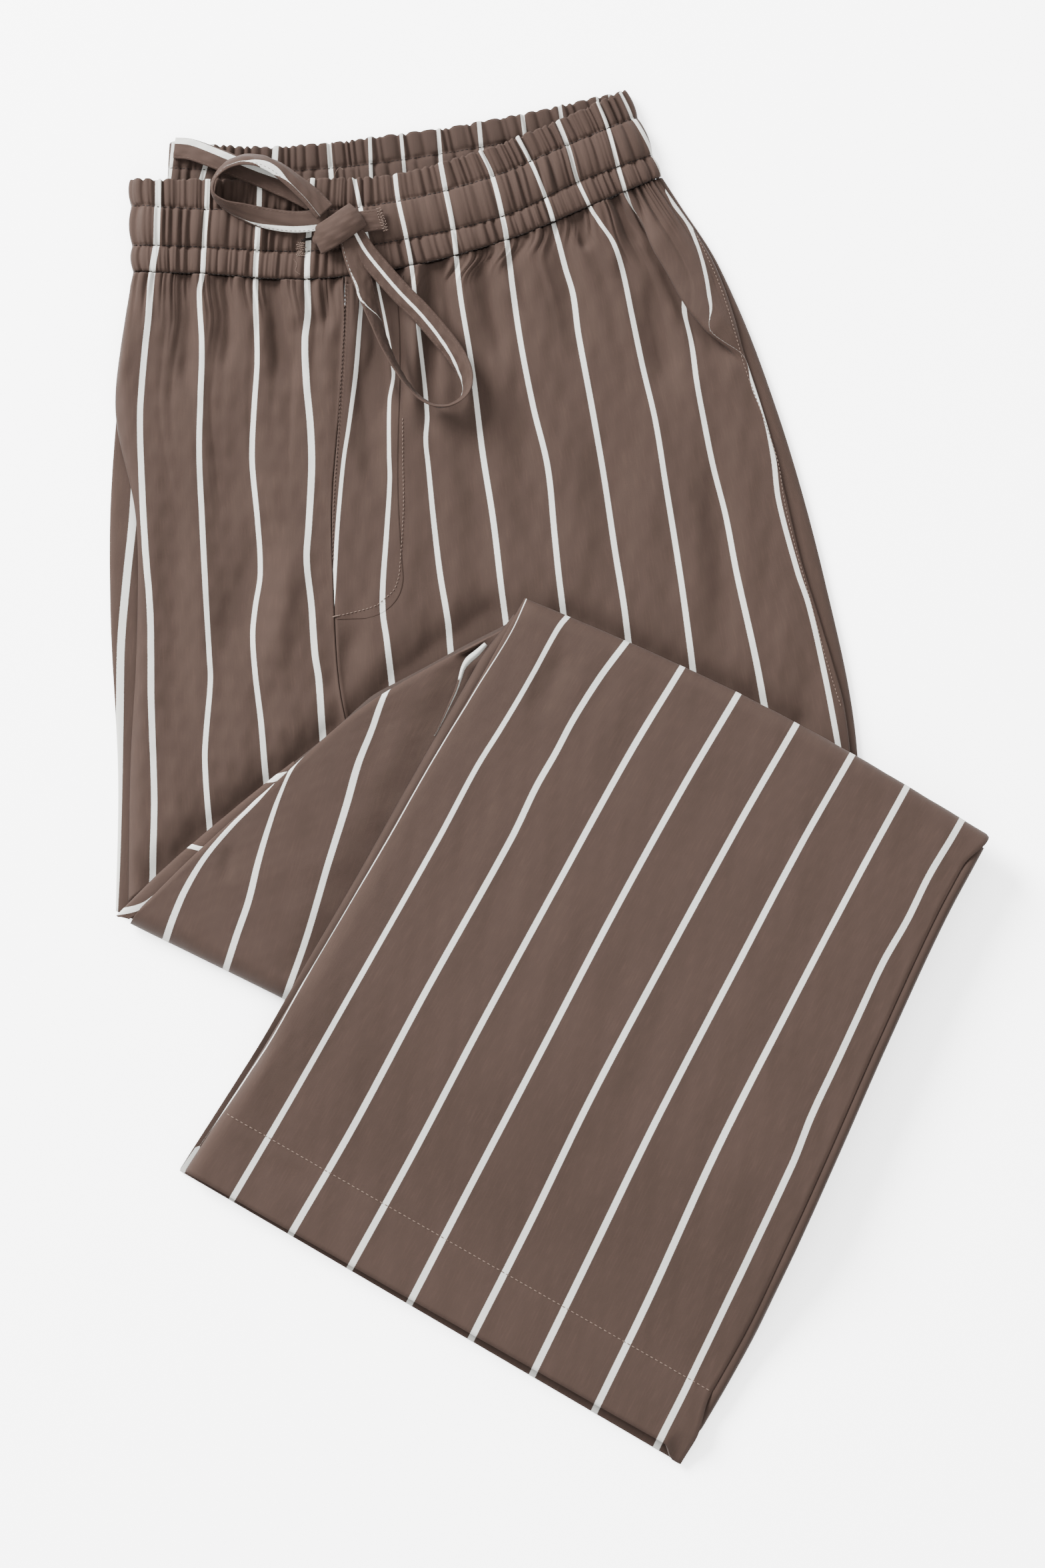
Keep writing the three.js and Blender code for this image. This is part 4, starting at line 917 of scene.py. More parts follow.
# Deep slanting fold on the left hip: its upper side hangs over the valley below it
hipFold = {
    "line": line((944, 300), (972, 345), (1004, 395), (1036, 452), (1070, 494), (1120, 552)),
    "valley": {"rise": -3.6, "at": -1, "up": 2.2, "down": 4.2},
    "bowl": {"rise": -3.4, "at": -1, "up": 2.2, "down": 13},
    "lip": {"rise": 4.4, "at": 4, "up": 9, "down": 2.4},
    "over": {"rise": 6.4, "at": 3.2, "up": 2.6, "down": 2.6},
    "under": {"rise": 2.0, "at": -2.4, "up": 2.4, "down": 2.4},
}


def hipRelief(x, y):
    # rise of the fold, and how far its cloth moves towards the upper right
    # up and down are a bell's widths on its two sides
    distance, share = alongLine(hipFold["line"], x, y)
    ends = smooth(share / 0.3) * smooth((1 - share) / 0.28)

    def bell(name):
        row = hipFold[name]
        past = distance - row["at"]
        return row["rise"] * np.exp(-((past / np.where(past > 0, row["up"], row["down"])) ** 2)) * ends

    return bell("valley") + bell("bowl") + bell("lip"), bell("under") - bell("over")


def waistGathers(u, v, count, seed):
    # gathers that run on from the waistband's seam, thin at first and merging as they fade
    drift = 0.003 * wander(u * 30, v * 7, 10, seed)
    near = gathers(u + drift, count, seed)
    later = gathers(u - drift, count // 3, seed + 1, 0.5)
    rng = np.random.default_rng(seed + 2)
    reach = np.interp(u, np.linspace(0, 1, 24), rng.uniform(0.06, 0.2, 24))
    return 1.9 * near * (1 - smooth(v / (reach * 0.9))) + 3.0 * later * (1 - smooth(v / (reach * 2.8)))


frontScale = {"folds": 3.2, "broad": 1.9}


def frontRelief(base, u, v, count, seed):
    x, y = base[..., 0], base[..., 1]
    broad = 0.35 * wander(x, y * 0.35, 26, seed + 5) + 0.12 * wander(x, y * 0.5, 9, seed + 6)
    calm = shoulder(np.minimum(u, 1 - u), 0.06)
    raised = frontScale["folds"] * folds(x, y, frontFolds) + waistGathers(u, v, count, seed)
    raised = raised + frontScale["broad"] * broad
    return noDeeper(raised) * calm


def noDeeper(relief):
    # troughs flatten out before they reach the layers below
    deepest = {"from": -3.8, "room": 1.3}
    past = np.maximum(deepest["from"] - relief, 0)
    return np.where(past > 0, deepest["from"] - deepest["room"] * np.tanh(past / deepest["room"]), relief)


def stripeTaper(x, y, gaps):
    # share of a stripe's width: none where a fold hides it, full again past the ends of the hidden stretch
    share = np.ones(np.shape(x))
    for gap in gaps:
        distance, along = alongLine(gap["line"], x, y)
        ends = smooth(along / gap["fade"]) * smooth((1 - along) / gap["fade"])
        share = np.minimum(share, 1 - ends * (np.abs(distance) < gap["reach"]))
    return share


def makeRightFront():
    u, v = grid(np.linspace(0, 1, 150) ** 1.15, np.linspace(0, 1, 170) ** 1.15)
    bandU = u * (panel["flyAt"] - 0.002)
    x, y = sewnToBand(panelPlace(rightFront, u, v), panelPlace(rightFront, u, 0 * v), bandU, v)
    level = mix(band["level"], panel["level"], smooth(v / 0.3))
    fromSide = x - mix(bandPlace(0, 1)[0], read(rightFront, "sideX", v), smooth(v / 0.1))
    base = np.stack([x, y, domeHeight(level, fromSide, 100)], axis=-1)
    fabric = fabricOf(base, chartWithout(frontStripes, "s5"))
    outer, inner = shellOf(base, frontRelief(base, u, v, 34, 50), panel["wall"])
    piece = addCloth("front_right", outer, inner, cloth, fabric)
    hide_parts("right_front")


def leftFrontSurface(u, v):
    # the left front's face: its base raised by its folds, gathers and the deep fold on the hip
    base = leftFrontBase(u, v)
    calm = shoulder(1 - u, 0.04)
    relief = noDeeper(frontRelief(base, u, v, 52, 60) + hipRelief(base[..., 0], base[..., 1])[0] * calm)
    return base, relief


hiddenStripes = [
    {"line": line((938, 286), (952, 316), (980, 350), (1000, 387), (1014, 425), (1030, 470)), "reach": 9,
     "fade": 0.2},
    {"line": line((1062, 440), (1072, 480), (1097, 511), (1117, 535), (1130, 580)), "reach": 7, "fade": 0.25},
]


def makeLeftFront():
    across = np.concatenate([np.linspace(0, 0.78, 125)[:-1], np.linspace(0.78, 1, 105)])
    u, v = grid(across, np.linspace(0, 1, 155) ** 1.15)
    base, relief = leftFrontSurface(u, v)
    fabric = fabricOf(base, chartWithout(frontStripes, "s0"))
    outer, inner = shellOf(base, relief, panel["wall"])
    first, last = hipFold["line"][0], hipFold["line"][-1]
    way = (last - first) / np.linalg.norm(last - first)
    sideways = (hipRelief(base[..., 0], base[..., 1])[1] * shoulder(1 - u, 0.03))[..., None]
    moved = sideways * np.array([-way[1], way[0], 0])
    outer, inner = outer + moved, inner + moved
    width = stripeTaper(base[..., 0], base[..., 1], hiddenStripes)
    surfaces["front_left"] = outer
    piece = addCloth("front_left", outer, inner, cloth, fabric, width)
    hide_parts("left_front")


makeRightFront()
makeLeftFront()
print("fronts made")


# The legs, folded back over the body: directions in degrees from +X, and the layers' levels
legs = {
    "lowerFoldX": -235.4,
    "lowerFoldY": -74.5,
    "lowerFoldAngle": -26.1,
    "upperFoldAngle": -27,
    "flapAngle": -30,
    "flapLength": 365,
    "hemAt": 0.9,
    "middleLevel": 14.2,
    "sliverLevel": 11.4,
    "underLevel": 16.8,
    "flapLevel": 25,
    "hemLevel": 8.6,
    "upperFoldMiddle": 17.8,
    "upperFoldBottom": 8.8,
    "flapBulge": 7,
    "flapSeamInset": 5.3,
    "underStrip": 13,
    "rollRise": 3.6,
    "curl": 6.2,
    "wall": 1.2,
    "hemWall": 1.8,
}
middle = {
    "at": [0, 0.2, 0.45, 0.7, 1],
    "foldX": [-226.5, -209.5, -187, -164, -131],
    "foldY": [-78, -86.4, -97.4, -108.7, -125],
    "edgeX": [-219, -189, -148, -94, -4],
    "edgeY": [-68, -38.5, -2, 43.5, 92],
}
sliver = {
    "at": [0, 0.25, 0.5, 0.75, 1],
    "outX": [-233.6, -211.3, -187.9, -160, -137.5],
    "outY": [-73.4, -51.1, -30.6, -7.5, 10.2],
    "inX": [-226.5, -201, -176, -150, -128],
    "inY": [-75.2, -62, -41, -18, 0],
}
flap = {
    "at": [0, 0.14, 0.34, 0.5, 0.66, 0.8, 1],
    "leftX": [-12.5, -36.7, -72.7, -101.5, -130.3, -156.5, -196.6],
    "leftY": [98, 54, -7.2, -57.6, -106.2, -149, -211.7],
    "rightX": [238.3, 213.5, 182, 157.8, 133.2, 111, 75.5],
    "rightY": [-30.2, -76, -144, -199, -254, -303, -366],
}
underShow = {"top": 4.6, "side": 3, "hemNear": 2, "hemFar": 6}
underPath = {"at": [0, 0.36, 0.64, 1], "u": [0, 0, 1, 1], "v": [0.03, 1, 1, 0.02]}
underTurn = {
    "at": [0, 0.36, 0.48, 0.6, 0.74, 0.84, 0.93, 1],
    "inward": [13, 4, 1.3, 0, 0.8, 2.4, 4.7, 7.4],
    "rise": [0, 0, 0.12, 0.5, 0.84, 0.97, 1, 1],
    "drop": [0, 0, 0, 0, 0, 0, 0.5, 2.4],
}


def pastLowerFold(x, y):
    turn = np.radians(legs["lowerFoldAngle"])
    return (x - legs["lowerFoldX"]) * np.sin(turn) - (y - legs["lowerFoldY"]) * np.cos(turn)


def middlePlace(u, v):
    # plan of the legs' middle stretch: v runs from the slanting edge to the lower fold
    edgeX, edgeY = read(middle, "edgeX", u), read(middle, "edgeY", u)
    foldX, foldY = read(middle, "foldX", u), read(middle, "foldY", u)
    return mix(edgeX, foldX, v), mix(edgeY, foldY, v), np.hypot(edgeX - foldX, edgeY - foldY)


def flapPlace(u, v):
    # plan of the uppermost leg: u runs across from its left edge and v from fold to hem
    leftX, leftY = read(flap, "leftX", v), read(flap, "leftY", v)
    rightX, rightY = read(flap, "rightX", v), read(flap, "rightY", v)
    bow = legs["flapBulge"] * np.sin(np.pi * clamp(u)) * (1 - smooth(v / 0.3))
    turn = np.radians(legs["upperFoldAngle"])
    return (mix(leftX, rightX, u) - bow * np.sin(turn), mix(leftY, rightY, u) + bow * np.cos(turn),
            np.hypot(rightX - leftX, rightY - leftY))


def flapMoved(u, v, rightward, upward):
    x, y, _ = flapPlace(u, v)
    turn = np.radians(legs["flapAngle"])
    return (x + np.cos(turn) * rightward - np.sin(turn) * upward,
            y + np.sin(turn) * rightward + np.cos(turn) * upward)


def flapTop(x, y):
    return mix(legs["flapLevel"], legs["hemLevel"], smooth((pastLowerFold(x, y) + 35) / 120))


def rollRise(v):
    # height of the rounded edge on the flap's left above the layer it lies on
    return legs["rollRise"] * smooth(v / 0.04) * (1 - smooth((v - 0.3) / 0.5))


def seamInset(v):
    # how far the flap's front stops short of its right edge
    return 0.4 + legs["flapSeamInset"] * smooth((v - 0.004) / 0.055) * (1 - smooth((v - 0.9) / 0.075))


def flapUnder(x, y):
    return mix(legs["underLevel"], legs["wall"], smooth((pastLowerFold(x, y) + 4) / 44))


def endsClose(count, power=0.5):
    # steps from 0 to 1 that lie closer together at both ends
    even = np.linspace(0, 1, count)
    return mix(even, (1 - np.cos(np.pi * even)) / 2, power)


middleFolds = [
    {"line": line((352, 1263), (343, 1292), (338, 1330)), "rise": -0.9, "left": 4, "right": 4},
    {"line": line((620, 1020), (560, 1130), (520, 1230)), "rise": -0.7, "left": 9, "right": 9},
    {"line": line((470, 1150), (420, 1270), (390, 1400)), "rise": 0.5, "left": 10, "right": 10},
    {"line": line((722, 930), (706, 962), (694, 1000)), "rise": -4.6, "left": 5, "right": 5, "fade": 0.4,
     "from": False},
    {"line": line((722, 975), (640, 1120), (570, 1262), (480, 1420), (430, 1495)), "rise": -2.6, "left": 20,
     "right": 12, "fade": 0.12, "from": False},
]


def makeMiddle():
    u, v = grid(endsClose(110), endsClose(120, 0.8))
    x, y, long = middlePlace(u, v)
    atEdge = mix(legs["sliverLevel"] + 0.9, legs["middleLevel"], shoulder(v * long, 7))
    base = np.stack([x, y, mix(2, atEdge, shoulder((1 - v) * long, 12))], axis=-1)
    calm = shoulder(v * long, 14) * shoulder((1 - v) * long, 16) * shoulder(np.minimum(u, 1 - u), 0.05)
    relief = calm * (folds(x, y, middleFolds) + 0.3 * wander(x, y, 24, 71) + 0.08 * wander(x, y, 8, 72))
    outer, inner = shellOf(base, relief, legs["wall"])
    piece = addCloth("middle", outer, inner, cloth, fabricOf(base, middleStripes))
    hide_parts("right_back_lower")


sliverStripes = {
    "guard": {"x": [150, 240], "y": [1470, 1450]},
    "one": {"x": [140, 190, 215, 238, 320], "y": [1372, 1366, 1358, 1342, 1320]},
    "two": {"x": [200, 270, 285, 305, 400], "y": [1262, 1268, 1270, 1275, 1280]},
    "three": {"x": [330, 408, 418, 430, 500], "y": [1172, 1168, 1165, 1162, 1158]},
    "last": {"x": [420, 520], "y": [1070, 1060]},
}


def makeSliver():
    u, v = grid(np.linspace(0, 1, 120), np.linspace(0, 1, 12))
    x = mix(read(sliver, "outX", u), read(sliver, "inX", u), v)
    y = mix(read(sliver, "outY", u), read(sliver, "inY", u), v)
    level = mix(panel["level"] + 2, legs["sliverLevel"], smooth(u / 0.4))
    base = np.stack([x, y, level - 1.6 * (1 - shoulder(v, 0.5))], axis=-1)
    outer, inner = shellOf(base, 0.15 * wander(x, y, 18, 75), legs["wall"])
    piece = addCloth("sliver", outer, inner, cloth, fabricOf(base, sliverStripes, 90))
    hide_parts("right_front_turned")


# Folds of the uppermost leg
flapFolds = [
    {"line": line((853, 970), (835, 1003), (820, 1039), (803, 1085)), "rise": -1.6, "left": 6, "right": 8},
    {"line": line((905, 960), (880, 1010), (860, 1060)), "rise": 0.7, "left": 9, "right": 7},
    {"line": line((1010, 1010), (960, 1110), (900, 1230)), "rise": -0.6, "left": 14, "right": 12},
    {"line": line((1300, 1160), (1240, 1290), (1180, 1400)), "rise": -0.6, "left": 14, "right": 14},
    {"line": line((520, 1500), (450, 1620), (380, 1740)), "rise": -0.8, "left": 10, "right": 12},
    {"line": line((700, 1400), (620, 1560), (540, 1720)), "rise": -0.5, "left": 18, "right": 16},
    {"line": line((1000, 1500), (900, 1700), (820, 1850)), "rise": -0.5, "left": 18, "right": 16},
    {"line": line((1200, 1600), (1120, 1780), (1040, 1960)), "rise": 0.6, "left": 12, "right": 14},
    {"line": line((345, 1690), (380, 1740), (470, 1790)), "rise": -0.9, "left": 7, "right": 9},
]


def makeFlapFront():
    # negative rows turn down round the upper fold, and from 0 on they run over the face to the hem
    turnRows = np.linspace(-1, 0, 14)[:-1]
    faceRows = np.linspace(0, 1, 195) ** 1.35
    u, w = grid(endsClose(190, 0.6), np.concatenate([turnRows, faceRows]))
    turned = np.minimum(w, 0) * np.pi / 2
    v = np.maximum(w, 0) + 7 * (1 - np.cos(turned)) / legs["flapLength"]
    inset = 1 - seamInset(v) / flapPlace(np.ones_like(u), v)[2]
    x, y, wide = flapPlace(u * inset, v)
    top = flapTop(x, y)
    side = flapUnder(x, y) + 2.4 + rollRise(v)
    fromLeft = u * inset * wide
    rolled = mix(np.minimum(side, top - 2), top, shoulder(fromLeft, 9))
    foldMiddle = legs["upperFoldMiddle"]
    face = mix(np.minimum(rolled, foldMiddle), rolled, shoulder(np.maximum(w, 0) * legs["flapLength"], 9))
    z = np.where(w < 0, foldMiddle + (foldMiddle - legs["upperFoldBottom"]) * np.sin(turned), face)
    curl = smooth((u - 0.955) / 0.03) * smooth((v - 0.965) / 0.035)
    turn = np.radians(legs["flapAngle"])
    x = x + legs["curl"] * np.sin(turn) * curl
    y = y - legs["curl"] * np.cos(turn) * curl
    base = np.stack([x, y, z - 0.8 * legs["curl"] * curl], axis=-1)
    length = np.maximum(w, 0) * legs["flapLength"]
    fromSeam = (1 - u) * wide
    calm = shoulder(fromLeft, 12) * shoulder(fromSeam, 8) * mix(0.25, 1, smooth(length / 14))
    soft = 0.32 * wander(x, y, 30, 81) + 0.1 * wander(x, y, 9, 82)
    fromStitch = (v - legs["hemAt"]) * legs["flapLength"]
    pucker = 0.16 * wander(x, y, 3.2, 83) * np.exp(-((fromStitch / 5) ** 2))
    hem = 0.45 * smooth((fromStitch + 0.6) / 1.2) - 0.35 * np.exp(-((fromStitch / 1.1) ** 2)) + pucker
    seam = -0.7 * np.exp(-((fromSeam / 1.2) ** 2))
    relief = calm * (folds(x, y, flapFolds) + soft) + hem * shoulder(fromLeft, 6) + seam
    thick = mix(legs["wall"], legs["hemWall"], smooth((fromStitch + 0.6) / 1.2))
    outer, inner = shellOf(base, relief, thick)
    taper = {"least": 0.2, "from": 9, "over": 5}
    width = mix(taper["least"], 1, smooth((fromLeft - taper["from"]) / taper["over"]))
    piece = addCloth("leg_front", outer, inner, cloth, fabricOf(base, flapStripes, -30), width)
    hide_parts("left_front_lower")
    stitched = hemStitches(u, v, outer)
    addStitches("hem_stitches", stitched, tanThread, {"pitch": 2.9, "long": 2.1, "thick": 0.55})


def hemStitches(u, v, outer):
    row = int(np.argmin(np.abs(v[:, 0] - legs["hemAt"])))
    return outer[row][3:-2] + [0, 0, 0.15]


def underPlace(u, v):
    # v runs along the path and u across the strip, from inside to its outer edge
    leg = (v > underPath["at"][1]).astype(int) + (v > underPath["at"][2]).astype(int)

    def along(column):
        values = np.array(underPath[column], float)
        return values[leg], values[leg + 1]

    start, end = along("at")
    t = clamp((v - start) / (end - start))
    atU = mix(*along("u"), t)
    atV = mix(*along("v"), t)
    onRight = np.where(leg == 2, smooth(t / 0.05), 0)
    hemShow = mix(underShow["hemNear"], underShow["hemFar"], atU)
    sideShow = mix(underShow["top"], underShow["side"], smooth(atV / 0.5))
    leftShow = sideShow * (1 - atU) * smooth((atV - 0.02) / 0.1)
    inward = mix(mix(legs["underStrip"], 0, u), read(underTurn, "inward", u), onRight)
    nearHem = smooth((atV - 0.955) / 0.045)
    sideways = np.where(atU < 0.5, inward - leftShow, -inward)
    hemward = np.where(leg == 1, inward - hemShow, (inward - hemShow) * nearHem)
    crosswise = np.where(leg == 1, sideways * (1 - smooth(np.minimum(t, 1 - t) / 0.07)), sideways)
    x, y = flapMoved(atU, atV, crosswise, hemward)
    low = flapUnder(x, y) - legs["wall"]
    covered = 1 - smooth((atV - 0.02) / 0.05) + smooth((atV - 0.89) / 0.06)
    high = flapTop(x, y) - 0.1 - read(underTurn, "drop", u) - 2.2 * covered
    rise = read(underTurn, "rise", u) * onRight
    rolled = np.where(leg == 0, rollRise(atV) * shoulder((1 - u) * legs["underStrip"], 3.4), 0)
    return np.stack([x, y, mix(low, high, rise) + rolled], axis=-1)


def makeFlapUnder():
    u, v = grid(np.linspace(0, 1, 30), np.linspace(0, 1, 520))
    base = underPlace(u, v)
    outer, inner = shellOf(base, 0 * u, legs["wall"])
    # the rounded edge on the left shows no stripe
    striped = 1.0 * (v > underPath["at"][1] - 0.015)
    # in the darker cloth: duller reverse and painted shade beneath the flap's front
    piece = addCloth("leg_back", outer, inner, clothInsideShaded, fabricOf(base, flapStripes, -30), striped)
    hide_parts("left_back_lower")


def makeSecondLegEdge():
    # the other leg's side peeps out between the middle stretch and the flap, on one of its stripes
    place = {
        "px": [729, 716, 703, 695, 690, 684, 675, 664, 652],
        "py": [966, 979, 990, 1002, 1018, 1036, 1056, 1080, 1104],
        "half": [1.2, 1.8, 1.9, 1.3, 1, 0.9, 0.8, 0.6, 0.3],
        "z": [17.4, 17.6, 17.4, 16.8, 16.2, 15.8, 15.4, 14.8, 13.6],
    }
    across, along = grid(np.linspace(1, -1, 13), np.linspace(0, 1, 70))
    table = {"at": np.linspace(0, 1, len(place["px"])), **place}
    level = read(table, "z", along)
    x, y = spot(read(table, "px", along), read(table, "py", along), level)
    way = np.stack([np.gradient(x, axis=0), np.gradient(y, axis=0)], axis=-1)
    way /= np.linalg.norm(way, axis=-1, keepdims=True)
    half = read(table, "half", along)
    height = level - half * across ** 2
    base = np.stack([x + way[..., 1] * half * across, y - way[..., 0] * half * across, height], axis=-1)
    outer, inner = shellOf(base, 0 * half, 0.8)
    fromStripe = 0.9 + 2.6 * smooth((along - 0.3) / 0.5) * (across > -0.2)
    piece = addCloth("second_leg", outer, inner, cloth, np.stack([fromStripe, 200 * along], axis=-1))
    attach(piece, "root")


makeSecondLegEdge()
makeMiddle()
makeSliver()
makeFlapFront()
makeFlapUnder()
print("legs made")


# Back panels on the table, and the fly
rightBackStripes = {
    "guard": {"x": [60, 60], "y": [200, 1400]},
    "s0": {"x": [206, 200, 191, 182, 180, 178, 175, 172], "y": [691, 782, 864, 964, 1069, 1186, 1292, 1357]},
    "s1": {"x": [310, 300, 280], "y": [200, 700, 1400]},
}


def makeRightBack():
    u, v = grid(endsClose(60, 0.7), np.linspace(0, 1, 150))
    x, y = panelPlace(rightBack, u, v)
    shows = smooth((v - 0.34) / 0.16) * (1 - smooth((u - 0.1) / 0.06))
    top = mix(0.6, 1.3 + shows, shoulder(u, 0.04)) + 0.12 * wander(x, y, 20, 91) * shoulder(u, 0.05)
    outer = np.stack([x, y, top], axis=-1)
    inner = np.stack([x, y, 0 * top], axis=-1)
    piece = addCloth("back_right", outer, inner, cloth, fabricOf(outer, rightBackStripes))
    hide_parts("right_back")


def makeLeftBack():
    # the side turns up from the table to the seam; across runs from that seam to the centre
    # its section is a share of the seam's distance in from the outline, and of the seam's height
    turned = sideTurn["at"][-1]
    across = np.concatenate([np.linspace(0, 0.13, 34), np.linspace(0.14, turned, 4),
                             np.linspace(0.22, 1, 24)])
    u, v = grid(across, np.linspace(0, 1, 190))
    seamInset = read(sideInset, "mm", v)
    reach = fromLeftSide(0, v)[2]
    turnInset = np.where(u < 0.08, seamInset + sideTurn["lap"], sideTurn["reach"])
    share = (u - turned) / (1 - turned)
    flat = mix(sideTurn["inward"][-1] * sideTurn["reach"], reach, share)
    inward = np.where(u > turned, flat, read(sideTurn, "inward", u) * turnInset)
    x, y, _ = fromLeftSide(inward, v)
    nearTop = 1 - smooth(v / 0.05)
    x = x - sideTurn["topLeft"] * nearTop
    y = y + sideTurn["topUp"] * nearTop
    seamLevel = seamHeight(seamInset) - sideTurn["belowSeam"]
    z = np.where(u > turned, 0, np.maximum(0, read(sideTurn, "height", u)) * seamLevel)
    base = np.stack([x, y, z], axis=-1)
    outer, inner = shellOf(base, 0 * u, 0.9)
    piece = addCloth("back_left", outer, inner, cloth, fabricOf(base, backSideStripes))
    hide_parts("left_back")


backSideStripes = {
    "near": {"x": [900, 1010, 1150], "y": [240, 640, 1180]},
    "far": {"x": [1130, 1290, 1420], "y": [240, 640, 1180]},
}
makeRightBack()
makeLeftBack()

flyShape = {"top": 0.02, "bottom": 0.655, "width": 0.147, "corner": 0.14, "lift": 0.06}


def flyWidth(down):
    corner = clamp((down - (1 - flyShape["corner"])) / flyShape["corner"])
    return flyShape["width"] * (0.32 + 0.68 * np.sqrt(1 - corner ** 2))


def makeFly():
    u, v = grid(np.linspace(0, 1, 40), endsClose(190, 0.4))
    down = mix(flyShape["top"], flyShape["bottom"], v)
    at = 0.004 + u * flyWidth(v)
    base, relief = leftFrontSurface(at, down)
    lift = flyShape["lift"] * np.minimum(shoulder(1 - u, 0.3), shoulder(1 - v, 0.03))
    outer, inner = shellOf(base, relief + 0.12 + lift, 0.6)
    piece = addCloth("fly_front", outer, inner, cloth, fabricOf(base, chartWithout(frontStripes, "s0")))
    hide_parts("fly")


makeFly()
fine = {"pitch": 2.2, "long": 1.5, "thick": 0.45}


def makeFlyStitches():
    # the row beside the fly's edge, the curve of its end, and the bar across the seam below it
    edge = [(519, 418), (517, 440), (514, 520), (509, 600), (506, 660), (500, 760), (499, 840)]
    stitchLine("fly_stitches_edge", "front_left", edge, brownThread, fine, 0.5)
    curve = [(506, 923), (520, 920), (545, 914), (565, 907), (577, 897), (590, 885), (597, 868), (600, 845),
             (605, 760), (604, 680), (604, 625)]
    stitchLine("fly_stitches_curve", "front_left", curve, tanThread, fine, 0.4)
    bar = [(499, 925), (502, 924), (507, 923)]
    stitchLine("fly_bar", "front_left", bar, tanThread, {"pitch": 0.7, "long": 1.2, "thick": 0.7}, 0.4)
    side = [(1046, 350), (1066, 392), (1082, 430), (1095, 470), (1106, 508), (1122, 560), (1146, 625),
            (1168, 692), (1178, 752), (1193, 815), (1214, 890), (1230, 950), (1247, 1010), (1263, 1060)]
    stitchLine("side_stitches", "front_left", side, tanThread, fine, 0.15)


makeFlyStitches()
print("backs and fly made")


# Hidden layers: blocks with an edge of rounded layers
def insetOutline(outline, distance):
    before = np.roll(outline, 1, axis=0)
    after = np.roll(outline, -1, axis=0)
    first = outline - before
    second = after - outline
    first /= np.maximum(np.linalg.norm(first, axis=1, keepdims=True), 1e-9)
    second /= np.maximum(np.linalg.norm(second, axis=1, keepdims=True), 1e-9)
    inwards = np.stack([-first[:, 1] - second[:, 1], first[:, 0] + second[:, 0]], axis=1)
    inwards /= np.maximum(np.linalg.norm(inwards, axis=1, keepdims=True), 1e-9)
    return outline + inwards * distance


def closedCurve(points, count):
    # even samples along the closed line through the points, its corners a little rounded
    loop = np.vstack([points, points[:1]])
    length = np.concatenate([[0], np.cumsum(np.linalg.norm(np.diff(loop, axis=0), axis=1))])
    at = np.linspace(0, length[-1], count, endpoint=False)
    even = np.stack([np.interp(at, length, loop[:, k]) for k in range(2)], axis=1)
    for _ in range(3):
        even = (np.roll(even, 1, axis=0) + 2 * even + np.roll(even, -1, axis=0)) / 4
    return even


def layeredBlock(points, bottom, topAt, layers, seed):
    # each layer's edge is a half round, and stands out a little more or less than the next
    outline = closedCurve(np.array(points, float), 260)
    rings = []
    shares = np.linspace(0, 1, 7)
    for layer in range(layers):
        out = 0.8 * wander(outline[:, 0], outline[:, 1], 60, seed + layer)
        for share in shares[:-1] if layer < layers - 1 else shares:
            depth = 1.5 * (1 - np.sqrt(1 - (2 * share - 1) ** 2)) + 0.8 + out
            place = insetOutline(outline, depth[:, None])
            height = mix(bottom, topAt(place[:, 0], place[:, 1]), (layer + share) / layers)
            rings.append(np.column_stack([place, height]))
    count = len(outline)
    vertices = np.vstack(rings)
    faces = []
    step = np.arange(count)
    following = (step + 1) % count
    for r in range(len(rings) - 1):
        low = r * count
        high = low + count
        faces += np.stack([low + step, low + following, high + following, high + step], axis=1).tolist()
    faces.append(step[::-1].tolist())
    faces.append(((len(rings) - 1) * count + step).tolist())
    return vertices, faces


def flapOutline(start, end, fromLeft, fromRight, fromTop=0, fromHem=0):
    at = np.linspace(start, end, 9)
    ends = np.zeros(9)
    ends[0] = -fromTop
    ends[-1] = fromHem
    left = np.stack(flapMoved(0 * at, at, fromLeft, ends), axis=1)
    right = np.stack(flapMoved(0 * at + 1, at, -fromRight, ends), axis=1)[::-1]
    across = np.linspace(0.9, 0.1, 9)
    top = np.stack(flapMoved(across, 0 * across + start, 0, -fromTop), axis=1)
    return np.vstack([left, right, top])


bodyOutline = [
    (-212, 262), (-218, 215), (-213, 150), (-212, 80), (-214, 10), (-214, -66), (-180, -91), (-60, -148),
    (108, -228), (160, -148), (157, 12), (140, 98), (115, 188), (90, 248), (73, 278), (50, 296), (0, 284),
    (-60, 264), (-110, 258),
]


def middleOutline():
    upper = np.array([0.16, 0.4, 0.7, 1])
    lower = np.array([1, 0.7, 0.4, 0.25])
    topX, topY, _ = middlePlace(upper, 0 * upper)
    long = middlePlace(lower, 0 * lower)[2]
    lowX, lowY, _ = middlePlace(lower, 1 - 22 / long)
    return np.column_stack([np.concatenate([topX, lowX]), np.concatenate([topY, lowY])])


